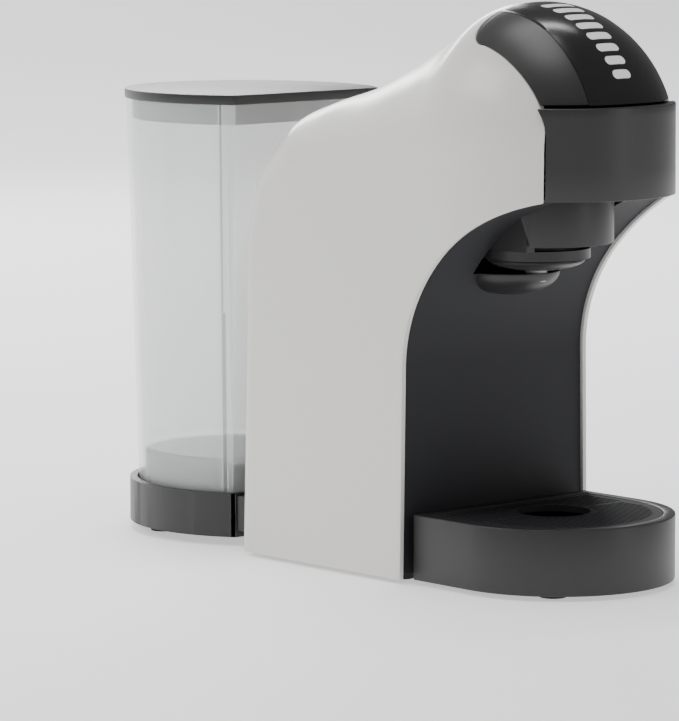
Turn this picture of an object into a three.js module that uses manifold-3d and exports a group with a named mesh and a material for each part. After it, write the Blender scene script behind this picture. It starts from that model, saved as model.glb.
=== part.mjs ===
// Slim pod coffee machine: pearl outer shell, black brew head with a lift-up lever hood, a pod
// drawer over a round drip tray, and a clear water tank that stands on a dock behind the body.
//
// Frame: millimetres, +Z up, +X to the machine's right, front towards -Y. While it is modelled, Y
// is measured from the front face of the column; the last lines move the origin to the middle of
// the footprint.

import * as THREE from 'three';
import { mergeVertices } from 'three/addons/utils/BufferGeometryUtils.js';
import Module from 'manifold-3d';

const wasm = await Module();
wasm.setup();

// ---------------------------------------------------------------- driving dimensions
const GAP = 0.3; // clearance between pieces that touch
const SIDES = 32; // facets of a large round

const BODY_HALF_WIDTH = 60; // at the floor
const BODY_FLARE = 0.014; // the side walls lean in by this much per mm of height
const BODY_REAR = 112.7; // rear face at the floor
const BODY_REAR_LEAN = 1.8; // how far the rear face leans in by shoulder height
const BODY_FLOOR = 2; // lower edge of the shell
const SHELL_WALL = 2.2;
const SHOULDER_Z = 160; // where the rear face starts to roll over
const BACK_Z = 214; // height of the low back behind the neck
const BACK_Y = 75;
const NECK_Y = 22; // where the back rises to the head
const NECK_Z = 236.2;
const CROWN_Z = 262.5; // highest point of the head
const REAR_ROUND = 8; // rounding of the rear upright edges
const BACK_ROUND = 34; // rounding of the back's long edges
const HEAD_ROUND = 52; // rounding of the neck's long edges

const HEAD_Y = -20; // the plan starts to narrow here
const HEAD_REACH = 71.2; // from there to the front of the head
const HEAD_PLAN_POWER = 2.2;
const CROWN_Y = -27; // highest point of the head
const DOME_REACH = 61.8; // from there to its front, a little behind the black band under it
const DOME_Z = 198; // its rounding starts here
const DOME_POWER = 1.97;
const DOME_ACROSS_POWER = 2.3;

const ARCH_SPRING_Z = 99; // the recess wall starts to curve forwards here
const ARCH_REACH = 104; // half axes of the recess's quarter ellipse
const ARCH_RISE = 81.5;
const PANEL_SETBACK = 1.5; // recess lining behind the shell's edge
const PANEL_WALL = 2.4;

const FASCIA_BOTTOM = 177;
const FASCIA_TOP = 218;
const FASCIA_WALL = 2.4;
const SEAM_Y = -72.3; // upright seam between the shell and the black front
const SEAM_TOP = 205;
const WIDE = BODY_HALF_WIDTH + 30; // clear of both sides
const SIDE_IN = BODY_HALF_WIDTH - 10;
const SIDE_OUT = BODY_HALF_WIDTH + 10;
const ABOVE = CROWN_Z + 37.5; // clear of the top
const LEVER_Y = -33.8; // lever pivot axis, along X
const LEVER_Z = CROWN_Z - 8.5;
const LEVER_SOCKET = 9.6; // radius of the rounded socket for the lever's ears
const LEVER_BOTTOM = 221.5;
const LEVER_SKIN = 3;
const LEVER_PIN = 2;
const STRIP_HALF = 23.2; // half width of the control strip
const STRIP_BOTTOM = 219.2;
const STRIP_SKIN = 2;
const BOARD_SKIN = 1.2;
const WEB_SKIN = 1.6; // lever web under the strip and its board
const CORE_INSET = 9.5; // fixed cover under the lever
const CORE_SKIN = 2.2;

const BAR_COUNT = 8;
const BAR_HEIGHT = 4.4;
const BAR_TOP_WIDTH = 19.6;
const BAR_NARROWING = 1.25; // each bar is this much narrower than the one above
const BAR_PITCH = 7.3;
const BAR_FIRST = 11.8; // arc length from the crown to the first bar

const BREW_Y = -26; // centre of the pod
const HOUSING_HALF = 26;
const HOUSING_WALL = 2.6;
const HOUSING_BOTTOM = 151.8;
const HOUSING_TOP = 186;
const RAIL_LIP = 2.4;
const POD_RADIUS = 17.5;
const HOLDER_RADIUS = 24.6;
const HOLDER_BOTTOM = 147;
const HOLDER_TOP = 170;
const HOLDER_FLOOR = 2.5;
const GRIP_Y = BREW_Y - 5; // centre of the grip's arc
const GRIP_RADIUS = 31.5;
const GRIP_WALL = 4;
const GRIP_HALF_ANGLE = 0.97;
const GRIP_BOTTOM = 154.4;
const GRIP_TOP = 175.6;
const PRESS_LIFT = 7; // travel of the press when the lever opens
const STEM_RADIUS = 4;
const DISH_RADIUS = 22;
const DISH_TOP = 146.6;
const DISH_DEPTH = 5.6;
const NOZZLE_RADIUS = 5;
const NOZZLE_BORE = 2.6;
const NOZZLE_DROP = 5; // how far it hangs below the dish
const SPOUT_HALF = 23;
const SPOUT_REACH = 24;
const SPOUT_DEPTH = 11;

const TRAY_HALF = 54.7;
const TRAY_BACK = -3.2;
const TRAY_STRAIGHT = 35.6;
const TRAY_BOTTOM = 2;
const TRAY_TOP = 32;
const TRAY_WALL = 2;
const TRAY_RIM = 5.5; // flat rim round the grid
const TRAY_LEDGE = 1.5; // step that carries the grid
const TRAY_FLOOR = 14;
const GRID_RIM = 4.6;
const GRID_THICK = 3;
const GRID_PITCH = 7;
const GRID_SLOT = 3.4;
const GRID_BAR = 4; // cross bar level with the cup hole
const CUP_HOLE_Y = -38;
const CUP_HOLE_RADIUS = 17;

const TANK_Y = 170.5; // centre of the tank's ellipse
const TANK_HALF = 59.8;
const TANK_REACH = 63.5;
const TANK_CHORD = 41.2; // from the centre to the flat front wall
const TANK_TAPER = 5.7; // how much the tank draws in by its foot
const TANK_WALL = 2.2;
const TANK_FOOT = 12.3;
const TANK_FLOOR = 38;
const LID_TOP = 214.6;
const LID_THICK = 4.3;
const LID_SKIRT = 10;
const DOCK_TOP = 25;
const DOCK_INSET = 1.6; // its rim stands this far inside the lid's outline
const DOCK_FLOOR = 4;
const DOCK_WALL = 2.4;
const VALVE_Y = 148;
const VALVE_RADIUS = 6;
const VALVE_STEM = 3;

const BASE_Z = 4;
const BASE_THICK = 3;
const FOOT_RADIUS = 7;

// ---------------------------------------------------------------- finishes
const finish = (
  color,
  roughness,
  metalness = 0,
) => new THREE.MeshStandardMaterial({ color, roughness, metalness });
const PEARL = finish(0xcfccc6, 0.32, 0.15);
const BLACK_SATIN = finish(0x1c1c1d, 0.42);
const BLACK_MATTE = finish(0x101011, 0.6);
const CLEAR = new THREE.MeshStandardMaterial({ color: 0xe9eef0, roughness: 0.06, transparent: true, opacity: 0.3 });
const LIGHT_WHITE = finish(0xf7f8f8, 0.25);
const STEEL = finish(0xb9bbbd, 0.3, 1);
const RUBBER = finish(0x1a1a1a, 0.85);
const SILICONE = finish(0xd9d6cf, 0.5);
const BOARD_GREEN = finish(0x1f5b39, 0.5);
const ALLOY = finish(0xa9adb0, 0.45, 0.9);

// ---------------------------------------------------------------- solids
function solidOf(geometry) {
  const bare = geometry.clone();
  bare.deleteAttribute('normal');
  bare.deleteAttribute('uv');
  const merged = mergeVertices(bare, 1e-5);
  const index = merged.index ?? [...merged.attributes.position.array.keys()];
  return new wasm.Manifold(new wasm.Mesh({
    numProp: 3,
    vertProperties: new Float32Array(merged.attributes.position.array),
    triVerts: new Uint32Array(index.array ?? index),
  }));
}

function pieceOf(name, solid, material) {
  const mesh = solid.getMesh();
  const geometry = new THREE.BufferGeometry();
  geometry.setAttribute('position', new THREE.BufferAttribute(new Float32Array(mesh.vertProperties), 3));
  geometry.setIndex(new THREE.BufferAttribute(new Uint32Array(mesh.triVerts), 1));
  const piece = new THREE.Mesh(geometry, material);
  piece.name = name;
  return piece;
}

const union = (...solids) => solids.reduce((all, one) => all.add(one));

// Extrusions of an outline: up along Z, across along X, and forwards along -Y.
function extrude(outline, length, axes) {
  const geometry = new THREE.ExtrudeGeometry(new THREE.Shape(outline.map(([u, v]) => new THREE.Vector2(u, v))), {
    depth: length,
    bevelEnabled: false,
  });
  geometry.applyMatrix4(axes);
  return solidOf(geometry);
}

const basis = (x, y, z, at) => new THREE.Matrix4()
  .makeBasis(new THREE.Vector3(...x), new THREE.Vector3(...y), new THREE.Vector3(...z))
  .setPosition(new THREE.Vector3(...at));
const raised = (outline, z0, z1) => extrude(
  outline,
  z1 - z0,
  basis([1, 0, 0], [0, 1, 0], [0, 0, 1], [0, 0, z0]),
);
const across = (outline, x0, x1) => extrude(
  outline,
  x1 - x0,
  basis([0, 1, 0], [0, 0, 1], [1, 0, 0], [x0, 0, 0]),
);

function block(x0, x1, y0, y1, z0, z1) {
  const geometry = new THREE.BoxGeometry(x1 - x0, y1 - y0, z1 - z0);
  geometry.translate((x0 + x1) / 2, (y0 + y1) / 2, (z0 + z1) / 2);
  return solidOf(geometry);
}

// A cylinder or cone from one point to another.
function rod(from, to, radius, endRadius = radius, sides = SIDES) {
  const start = new THREE.Vector3(...from);
  const span = new THREE.Vector3(...to).sub(start);
  const geometry = new THREE.CylinderGeometry(endRadius, radius, span.length(), sides);
  geometry.translate(0, span.length() / 2, 0);
  geometry.applyQuaternion(new THREE.Quaternion().setFromUnitVectors(new THREE.Vector3(0, 1, 0), span.normalize()));
  geometry.translate(...start.toArray());
  return solidOf(geometry);
}

const ring = (x, y, z0, z1, outer, inner) => rod([x, y, z0], [x, y, z1], outer)
  .subtract(rod([x, y, z0 - 1], [x, y, z1 + 1], inner));

// A tube of constant radius along a smooth route.
function tube(points, radius, sides = 8, steps = 20) {
  const section = new THREE.Shape(arc(0, 0, radius, 0, 2 * Math.PI, sides + 1).slice(0, -1)
    .map(([u, v]) => new THREE.Vector2(u, v)));
  const route = new THREE.CatmullRomCurve3(points.map((point) => new THREE.Vector3(...point)));
  return solidOf(new THREE.ExtrudeGeometry(section, { steps, extrudePath: route }));
}

// A closed skin through rings that all have the same number of points.
function loft(rings) {
  const count = rings[0].length;
  const last = (rings.length - 1) * count;
  const index = [];
  for (let i = 0; i < rings.length - 1; i += 1) {
    for (let j = 0; j < count; j += 1) {
      const a = i * count + j;
      const b = i * count + ((j + 1) % count);
      index.push(a, b, b + count, a, b + count, a + count);
    }
  }
  for (let j = 1; j < count - 1; j += 1) {
    index.push(0, j + 1, j, last, last + j, last + j + 1);
  }
  const geometry = new THREE.BufferGeometry();
  geometry.setAttribute('position', new THREE.Float32BufferAttribute(rings.flat(2), 3));
  geometry.setIndex(index);
  return solidOf(geometry);
}

// ---------------------------------------------------------------- outlines
function arc(u, v, radius, from, to, count = 17) {
  return Array.from({ length: count }, (_, i) => {
    const angle = from + ((to - from) * i) / (count - 1);
    return [u + radius * Math.cos(angle), v + radius * Math.sin(angle)];
  });
}

const bezier = (...points) => new THREE.CubicBezierCurve(...points.map(([u, v]) => new THREE.Vector2(u, v)))
  .getPoints(12).map((point) => [point.x, point.y]);

const power = (share, exponent) => Math.max(0, 1 - share ** exponent) ** (1 / exponent);

// ---------------------------------------------------------------- the body's outer form
// Spine of the back and head in side view, from the foot of the rear face up to the crown.
function spine(inset) {
  const points = [
    [BODY_REAR, 0],
    [BODY_REAR - BODY_REAR_LEAN * 0.7, SHOULDER_Z * 0.65],
    [BODY_REAR - BODY_REAR_LEAN, SHOULDER_Z],
    [BODY_REAR - 4, SHOULDER_Z + 0.38 * (BACK_Z - SHOULDER_Z)],
    [BODY_REAR - 20, BACK_Z - 8.5],
    [BACK_Y, BACK_Z],
    [(BACK_Y + NECK_Y) / 2, BACK_Z + 8.6],
    [NECK_Y, NECK_Z],
    [NECK_Y - 23, NECK_Z + 0.5513 * (CROWN_Z - NECK_Z)],
    [NECK_Y - 32, NECK_Z + 0.7833 * (CROWN_Z - NECK_Z)],
    [NECK_Y - 40, CROWN_Z - 1.3],
    [CROWN_Y, CROWN_Z],
  ];
  const curve = new THREE.CatmullRomCurve3(points.map(([y, z]) => new THREE.Vector3(0, y, z)));
  const steps = 28;
  return Array.from({ length: steps + 1 }, (_, i) => {
    const at = curve.getPointAt(i / steps);
    const along = curve.getTangentAt(i / steps);
    return { y: at.y - along.z * inset, z: at.z + along.y * inset, rise: along.z, run: -along.y };
  });
}

// Rounding of the long edges: small on the upright rear edges, large over the neck.
function edgeRound(z) {
  const up = THREE.MathUtils.smoothstep(z, SHOULDER_Z - 10, BACK_Z - 4);
  const head = THREE.MathUtils.smoothstep(z, BACK_Z, NECK_Z + 14);
  return THREE.MathUtils.lerp(THREE.MathUtils.lerp(REAR_ROUND, BACK_ROUND, up), HEAD_ROUND, head);
}

function nearestOnSpine(line, y, z) {
  let best = { distance: Infinity, z: 0 };
  for (let i = 0; i < line.length - 1; i += 1) {
    const [a, b] = [line[i], line[i + 1]];
    const length2 = (b.y - a.y) ** 2 + (b.z - a.z) ** 2;
    const t = THREE.MathUtils.clamp(((y - a.y) * (b.y - a.y) + (z - a.z) * (b.z - a.z)) / length2, 0, 1);
    const at = [a.y + t * (b.y - a.y), a.z + t * (b.z - a.z)];
    const distance = Math.hypot(y - at[0], z - at[1]);
    if (distance < best.distance) best = { distance, z: at[1] };
  }
  return best;
}

const sideWall = (z, inset) => BODY_HALF_WIDTH - BODY_FLARE * z - inset;

// Half width of the form at a point of the side view.
function halfWidth(line, y, z, top, inset) {
  const wall = sideWall(z, inset);
  const narrowing = y < HEAD_Y ? power((HEAD_Y - y) / (HEAD_REACH - inset), HEAD_PLAN_POWER) : 1;
  const rise = Math.max(0, z - DOME_Z) / (top - DOME_Z);
  const dome = z > DOME_Z ? power(rise, DOME_ACROSS_POWER) : 1;
  const headWidth = wall * narrowing * dome;
  if (y < HEAD_Y) return headWidth;
  const near = nearestOnSpine(line, y, z);
  const round = Math.min(edgeRound(near.z) - inset, wall);
  const depth = Math.min(near.distance, round);
  const bodyWidth = wall - round + Math.sqrt(round ** 2 - (round - depth) ** 2);
  return THREE.MathUtils.lerp(headWidth, bodyWidth, THREE.MathUtils.smoothstep(y, HEAD_Y, HEAD_Y + 20));
}

function formRing(line, y, top, roundDepth, inset, floor) {
  const right = [];
  const steps = 7;
  const roundFoot = Math.max(top - roundDepth, floor + 0.3 * (top - floor));
  right.push([floor, 0], [roundFoot, 0]);
  for (let i = 1; i <= steps; i += 1) {
    right.push([roundFoot + (top - roundFoot) * Math.sin((Math.PI / 2) * (i / steps)), 0]);
  }
  const widths = right.map(([z]) => [Math.max(halfWidth(line, y, z, top, inset), 0.4), y, z]);
  const left = widths.map(([x, yy, z]) => [-x, yy, z]).reverse();
  return [...widths, ...left];
}

// The whole body and head as one solid, drawn in by an inset.
function bodyForm(inset, floor) {
  const line = spine(inset);
  const rings = [];
  for (const at of line) {
    const steep = Math.max(at.run, 0.05);
    if (at.y > CROWN_Y + 0.5 && at.z > floor + 1.2) {
      rings.push(formRing(line, at.y, at.z, (edgeRound(at.z) - inset) / steep, inset, floor));
    }
  }
  const headSteps = 10;
  for (let i = 0; i <= headSteps; i += 1) {
    const share = Math.sin((Math.PI / 2) * (0.955 * (i / headSteps)));
    const y = CROWN_Y - share * (DOME_REACH - inset);
    const height = (CROWN_Z - inset - DOME_Z) * power(share, DOME_POWER);
    rings.push(formRing(line, y, DOME_Z + height, height, inset, floor));
  }
  return loft(rings);
}

// The head's plan as an upright prism, drawn in by an inset.
function headPrism(z0, z1, inset) {
  const steps = 24;
  const outline = (z) => {
    const points = [[sideWall(z, inset), 0, z]];
    for (let i = 0; i <= steps; i += 1) {
      const angle = (Math.PI * i) / steps;
      const x = sideWall(z, inset) * Math.sign(Math.cos(angle)) * Math.abs(Math.cos(angle)) ** (2 / HEAD_PLAN_POWER);
      points.push([x, HEAD_Y - (HEAD_REACH - inset) * Math.sin(angle) ** (2 / HEAD_PLAN_POWER), z]);
    }
    points.push([-sideWall(z, inset), 0, z]);
    return points.reverse();
  };
  return loft([outline(z0), outline(z1)]);
}

// Side view of everything in front of the seam between the shell and the black front.
function frontRegion(gap) {
  const seam = bezier(
    [SEAM_Y - gap, SEAM_TOP],
    [SEAM_Y - gap, SEAM_TOP + 17],
    [SEAM_Y + 18.3 - 0.7 * gap, SEAM_TOP + 35 + 0.7 * gap],
    [LEVER_Y, LEVER_Z - LEVER_SOCKET + gap],
  );
  const ear = arc(LEVER_Y, LEVER_Z, LEVER_SOCKET - gap, -Math.PI / 2, Math.PI / 2, 15).slice(1);
  return [[-200, 150], [SEAM_Y - gap, 150], ...seam, ...ear, [LEVER_Y, ABOVE], [-200, ABOVE]];
}

// Side view of the recess over the drip tray, grown by a setback.
function recessRegion(setback) {
  const rise = ARCH_RISE + setback;
  const reach = ARCH_REACH + setback;
  const curve = Array.from({ length: 19 }, (_, i) => {
    const angle = (Math.PI / 2) * (i / 18);
    return [-ARCH_REACH + reach * Math.cos(angle), ARCH_SPRING_Z + rise * Math.sin(angle)];
  });
  return [[-200, -10], [setback, -10], ...curve, [-200, ARCH_SPRING_Z + rise]];
}

const recess = across(recessRegion(0), -WIDE, WIDE);
const blackFront = (gap) => across(frontRegion(gap), -WIDE, WIDE);
const slab = (z0, z1) => block(-WIDE, WIDE, -150, 150, z0, z1);

// ---------------------------------------------------------------- shell and covers
const REAR_PANEL = { half: 42, bottom: 34, top: 150 };
const NECK = { half: 44, top: DOCK_TOP - 1 };
const SWITCH = { y: 76, z: 33, halfLength: 11, halfHeight: 7 };
const GLAND = { y: 97, z: 14.5, radius: 5 };

function outerShell() {
  const hollow = bodyForm(SHELL_WALL, -6);
  let shell = bodyForm(0, BODY_FLOOR).subtract(hollow).subtract(recess).subtract(blackFront(0));
  shell = shell.subtract(block(-REAR_PANEL.half, REAR_PANEL.half, 100, 130, REAR_PANEL.bottom, REAR_PANEL.top));
  shell = shell.subtract(block(-NECK.half - GAP, NECK.half + GAP, 100, 130, 0, NECK.top + GAP));
  shell = shell.subtract(switchHole(GAP));
  return shell.subtract(rod([SIDE_IN, GLAND.y, GLAND.z], [SIDE_OUT, GLAND.y, GLAND.z], GLAND.radius + GAP, GLAND.radius + GAP, 16));
}

const switchHole = (gap) => block(
  SIDE_IN,
  SIDE_OUT,
  SWITCH.y - SWITCH.halfLength - gap,
  SWITCH.y + SWITCH.halfLength + gap,
  SWITCH.z - SWITCH.halfHeight - gap,
  SWITCH.z + SWITCH.halfHeight + gap,
);

const rearFace = (z) => BODY_REAR - (BODY_REAR_LEAN * z) / SHOULDER_Z;

// The rear cover sits in the shell's rear opening on a wider flange inside.
function rearPanel() {
  const { half, bottom, top } = REAR_PANEL;
  const face = across([
    [rearFace(bottom) - 0.6, bottom + GAP],
    [rearFace(top) - 0.6, top - GAP],
    [rearFace(top) - SHELL_WALL - GAP - 2, top - GAP],
    [rearFace(bottom) - SHELL_WALL - GAP - 2, bottom + GAP],
  ], -half + GAP, half - GAP);
  const flange = across([
    [rearFace(bottom - 4) - SHELL_WALL - 2 * GAP - 0.2, bottom - 4],
    [rearFace(top + 4) - SHELL_WALL - 2 * GAP - 0.2, top + 4],
    [rearFace(top + 4) - SHELL_WALL - 4, top + 4],
    [rearFace(bottom - 4) - SHELL_WALL - 4, bottom - 4],
  ], -half - 4, half + 4);
  return face.add(flange);
}

// Lining of the recess: the upright wall behind the cup and the ceiling under the head.
function frontPanel() {
  const lining = across(
    recessRegion(PANEL_SETBACK + PANEL_WALL),
    -90,
    90,
  ).subtract(across(recessRegion(PANEL_SETBACK), -WIDE, WIDE));
  const inside = bodyForm(SHELL_WALL + GAP, -6).intersect(slab(BASE_Z + BASE_THICK + GAP, 200));
  const brewOpening = block(
    -HOUSING_HALF - GAP,
    HOUSING_HALF + GAP,
    GRIP_Y - GRIP_RADIUS - 2,
    2,
    HOUSING_BOTTOM - 12,
    200,
  );
  const fasciaBand = headPrism(FASCIA_BOTTOM - 2, FASCIA_TOP, -1)
    .subtract(headPrism(FASCIA_BOTTOM - 3, FASCIA_TOP + 1, FASCIA_WALL + 2 * GAP));
  let panel = lining.intersect(inside).subtract(brewOpening).subtract(fasciaBand.intersect(blackFront(-GAP)));
  for (const side of [-1, 1]) {
    const slot = block(PRONG.inner - GAP, PRONG.outer + GAP, -2, 12, 0, PRONG.top + GAP);
    panel = panel.subtract(side > 0 ? slot : slot.mirror([1, 0, 0]));
  }
  return panel;
}

function headFascia() {
  const band = headPrism(FASCIA_BOTTOM, FASCIA_TOP, 0).subtract(headPrism(FASCIA_BOTTOM - 1, FASCIA_TOP + 1, FASCIA_WALL));
  const ledge = headPrism(FASCIA_TOP - 2, FASCIA_TOP, FASCIA_WALL / 2).subtract(headPrism(FASCIA_TOP - 3, FASCIA_TOP + 1, CORE_INSET - GAP));
  return band.add(ledge).intersect(blackFront(0.4));
}

const LUG = { inner: 8.5, outer: 11.5, radius: 3.6 };

// Fixed cover under the lever, with the socket for the lever's ears and two lugs for the pin.
function headCore() {
  const cap = bodyForm(CORE_INSET, 190).subtract(bodyForm(CORE_INSET + CORE_SKIN, 180));
  const reach = block(-WIDE, WIDE, -150, LEVER_Y + LEVER_SOCKET, 206, ABOVE);
  const trough = rod([-WIDE, LEVER_Y, LEVER_Z], [WIDE, LEVER_Y, LEVER_Z], LEVER_SOCKET + 0.3);
  const socket = rod([-WIDE, LEVER_Y, LEVER_Z], [WIDE, LEVER_Y, LEVER_Z], LEVER_SOCKET + 2)
    .intersect(bodyForm(SHELL_WALL + 4 * GAP, 190))
    .intersect(block(-WIDE, WIDE, LEVER_Y, 20, 200, LEVER_Z + 1));
  let core = cap.intersect(reach).add(socket).subtract(trough);
  for (const side of [-1, 1]) {
    const lug = block(
      LUG.inner,
      LUG.outer,
      LEVER_Y - 3.2,
      LEVER_Y + 3.2,
      LEVER_Z - LEVER_SOCKET - 1.2,
      LEVER_Z,
    )
      .add(rod([LUG.inner, LEVER_Y, LEVER_Z], [LUG.outer, LEVER_Y, LEVER_Z], LUG.radius, LUG.radius, 16));
    core = core.add(side > 0 ? lug : lug.mirror([1, 0, 0]));
  }
  return core.subtract(rod([-30, LEVER_Y, LEVER_Z], [30, LEVER_Y, LEVER_Z], LEVER_PIN + GAP, LEVER_PIN + GAP, 16));
}

// ---------------------------------------------------------------- lever
const leverForm = (from, to) => bodyForm(from, 190).subtract(bodyForm(to, 180));
const stripBand = (half) => block(-half, half, -150, 20, 150, ABOVE);

function leverHood() {
  const deep = STRIP_SKIN + BOARD_SKIN + WEB_SKIN + 3 * GAP;
  const arms = leverForm(0, LEVER_SKIN);
  const web = leverForm(deep - WEB_SKIN, deep).intersect(stripBand(STRIP_HALF + 2));
  const cheeks = leverForm(0, deep).intersect(stripBand(STRIP_HALF + 2));
  const channel = leverForm(-1, deep - WEB_SKIN).intersect(stripBand(STRIP_HALF + GAP));
  const skin = arms.add(cheeks).subtract(channel).add(web);
  const cut = skin.intersect(blackFront(0.4)).intersect(slab(LEVER_BOTTOM, ABOVE));
  let hood = cut;
  for (const side of [-1, 1]) {
    const slot = block(
      LUG.inner - GAP,
      LUG.outer + GAP,
      LEVER_Y - 7,
      LEVER_Y + 12,
      LEVER_Z - 12,
      LEVER_Z + 4.6,
    );
    const knuckle = rod(
      [LUG.outer + 0.5, LEVER_Y, LEVER_Z],
      [LUG.outer + 5.5, LEVER_Y, LEVER_Z],
      3.2,
      3.2,
      20,
    );
    hood = hood.subtract(side > 0 ? slot : slot.mirror([1, 0, 0]));
    hood = hood.add(side > 0 ? knuckle : knuckle.mirror([1, 0, 0]));
  }
  return hood.subtract(rod([-30, LEVER_Y, LEVER_Z], [30, LEVER_Y, LEVER_Z], LEVER_PIN + GAP, LEVER_PIN + GAP, 16));
}

function leverPin() {
  const end = LUG.outer + 5;
  return rod([-end, LEVER_Y, LEVER_Z], [end, LEVER_Y, LEVER_Z], LEVER_PIN, LEVER_PIN, 16);
}

// Centre line of the head in side view, by arc length from the crown.
function crownLine() {
  const points = Array.from({ length: 61 }, (_, i) => {
    const share = Math.sin((Math.PI / 2) * 0.98 * (i / 60));
    const y = CROWN_Y - share * DOME_REACH;
    const z = DOME_Z + (CROWN_Z - DOME_Z) * power(share, DOME_POWER);
    return new THREE.Vector3(0, y, z);
  });
  return new THREE.CatmullRomCurve3(points);
}

// One rounded bar as a prism that stands across the strip at its place on the crown line.
function barPrism(number, grow) {
  const line = crownLine();
  const share = (BAR_FIRST + BAR_PITCH * number) / line.getLength();
  const at = line.getPointAt(share);
  const along = line.getTangentAt(share);
  const half = BAR_TOP_WIDTH / 2 - (BAR_NARROWING / 2) * number;
  const radius = BAR_HEIGHT / 2 + grow;
  const straight = half - BAR_HEIGHT / 2;
  const outline = [
    ...arc(straight, 0, radius, -Math.PI / 2, Math.PI / 2, 7),
    ...arc(-straight, 0, radius, Math.PI / 2, 1.5 * Math.PI, 7),
  ];
  const out = new THREE.Vector3(1, 0, 0).cross(along);
  const axes = new THREE.Matrix4().makeBasis(new THREE.Vector3(1, 0, 0), along, out)
    .setPosition(at.clone().addScaledVector(out, -8));
  return extrude(outline, 16, axes);
}

const stripSlab = () => leverForm(0, STRIP_SKIN)
  .intersect(stripBand(STRIP_HALF))
  .intersect(blackFront(0.4))
  .intersect(slab(STRIP_BOTTOM, ABOVE));

function controlStrip() {
  let strip = stripSlab();
  for (let number = 0; number < BAR_COUNT; number += 1) strip = strip.subtract(barPrism(number, GAP + 0.1));
  return strip;
}

const lightBar = (number) => leverForm(0.3, STRIP_SKIN).intersect(barPrism(number, 0));

const controlBoard = () => leverForm(STRIP_SKIN + GAP, STRIP_SKIN + GAP + BOARD_SKIN)
  .intersect(stripBand(STRIP_HALF - 4))
  .intersect(block(-WIDE, WIDE, -150, LEVER_Y - 12, 228, ABOVE));

// ---------------------------------------------------------------- brew group
// Fixed housing: side cheeks, rear wall and roof, with lips that carry the pod drawer.
function brewHousing() {
  const rear = BREW_Y + HOLDER_RADIUS + HOUSING_WALL + 1;
  const front = GRIP_Y - 15.1;
  const inner = HOUSING_HALF - HOUSING_WALL;
  const box = block(-HOUSING_HALF, HOUSING_HALF, front, rear, HOUSING_BOTTOM, HOUSING_TOP);
  const hollow = block(
    -inner,
    inner,
    front - 5,
    rear - HOUSING_WALL,
    HOUSING_BOTTOM + RAIL_LIP,
    HOUSING_TOP - 3,
  );
  const slot = block(
    -inner + RAIL_LIP,
    inner - RAIL_LIP,
    front - 5,
    rear - HOUSING_WALL,
    HOUSING_BOTTOM - 2,
    HOUSING_TOP - 4,
  );
  const collar = block(-HOUSING_HALF - 4, HOUSING_HALF + 4, front, rear + 3, HOUSING_TOP - 3, HOUSING_TOP);
  const stemHole = rod(
    [0, BREW_Y, HOUSING_TOP - 20],
    [0, BREW_Y, HOUSING_TOP + 20],
    STEM_RADIUS + 0.4,
    STEM_RADIUS + 0.4,
    20,
  );
  return box.add(collar).subtract(hollow).subtract(slot).subtract(stemHole);
}

function pressPlate() {
  const foot = HOLDER_TOP + 1.6;
  const plate = rod([0, BREW_Y, foot], [0, BREW_Y, foot + 3], POD_RADIUS + 2);
  const stem = rod([0, BREW_Y, foot + 2], [0, BREW_Y, HOUSING_TOP + 9], STEM_RADIUS, STEM_RADIUS, 20);
  const head = block(-9, 9, BREW_Y - 6, BREW_Y + 6, HOUSING_TOP + 1, HOUSING_TOP + 12);
  const groove = ring(0, BREW_Y, foot - 1, foot + 1.2, POD_RADIUS + 0.5, POD_RADIUS - 2.5);
  const socket = rod([0, BREW_Y, foot - 1], [0, BREW_Y, foot + 2], 1.8, 1.8, 16);
  return union(plate, stem, head).subtract(groove).subtract(socket);
}

const podGasket = () => ring(
  0,
  BREW_Y,
  HOLDER_TOP + 0.9,
  HOLDER_TOP + 2.5,
  POD_RADIUS + 0.2,
  POD_RADIUS - 2.2,
);

const piercingNeedle = () => union(
  rod([0, BREW_Y, HOLDER_TOP + 1.4], [0, BREW_Y, HOLDER_TOP + 3.2], 1.5, 1.5, 16),
  rod([0, BREW_Y, HOLDER_TOP + 0.4], [0, BREW_Y, HOLDER_TOP + 1.4], 0.4, 1.5, 16),
);

// Drawer that carries the pod: a bowl hung on two flanges over the housing's lips.
function podHolder() {
  const inner = HOUSING_HALF - HOUSING_WALL - GAP;
  const lipTop = HOUSING_BOTTOM + RAIL_LIP + GAP;
  const disc = rod([0, BREW_Y, HOLDER_BOTTOM], [0, BREW_Y, HOUSING_BOTTOM - GAP], HOLDER_RADIUS);
  const neck = rod([0, BREW_Y, HOLDER_BOTTOM], [0, BREW_Y, lipTop + 1], inner - RAIL_LIP - GAP);
  const bowl = rod([0, BREW_Y, HOLDER_BOTTOM], [0, BREW_Y, HOLDER_TOP], POD_RADIUS + 2.2);
  const flange = block(-inner, inner, GRIP_Y - 14.5, BREW_Y + 17, lipTop, lipTop + 4);
  const bridge = block(
    -14,
    14,
    GRIP_Y - GRIP_RADIUS + GRIP_WALL + GAP,
    BREW_Y - POD_RADIUS,
    lipTop + GAP,
    HOLDER_TOP,
  );
  const face = rod([0, GRIP_Y, lipTop], [0, GRIP_Y, HOLDER_TOP + 1], GRIP_RADIUS - GRIP_WALL - GAP);
  const cavity = rod(
    [0, BREW_Y, HOLDER_BOTTOM + HOLDER_FLOOR],
    [0, BREW_Y, HOLDER_TOP + 1],
    POD_RADIUS - 1.5,
    POD_RADIUS,
  );
  const drain = rod([0, BREW_Y, HOLDER_BOTTOM - 1], [0, BREW_Y, HOLDER_BOTTOM + 5], 3, 3, 16);
  return union(disc, neck, bowl, flange, bridge.intersect(face)).subtract(cavity).subtract(drain);
}

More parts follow.
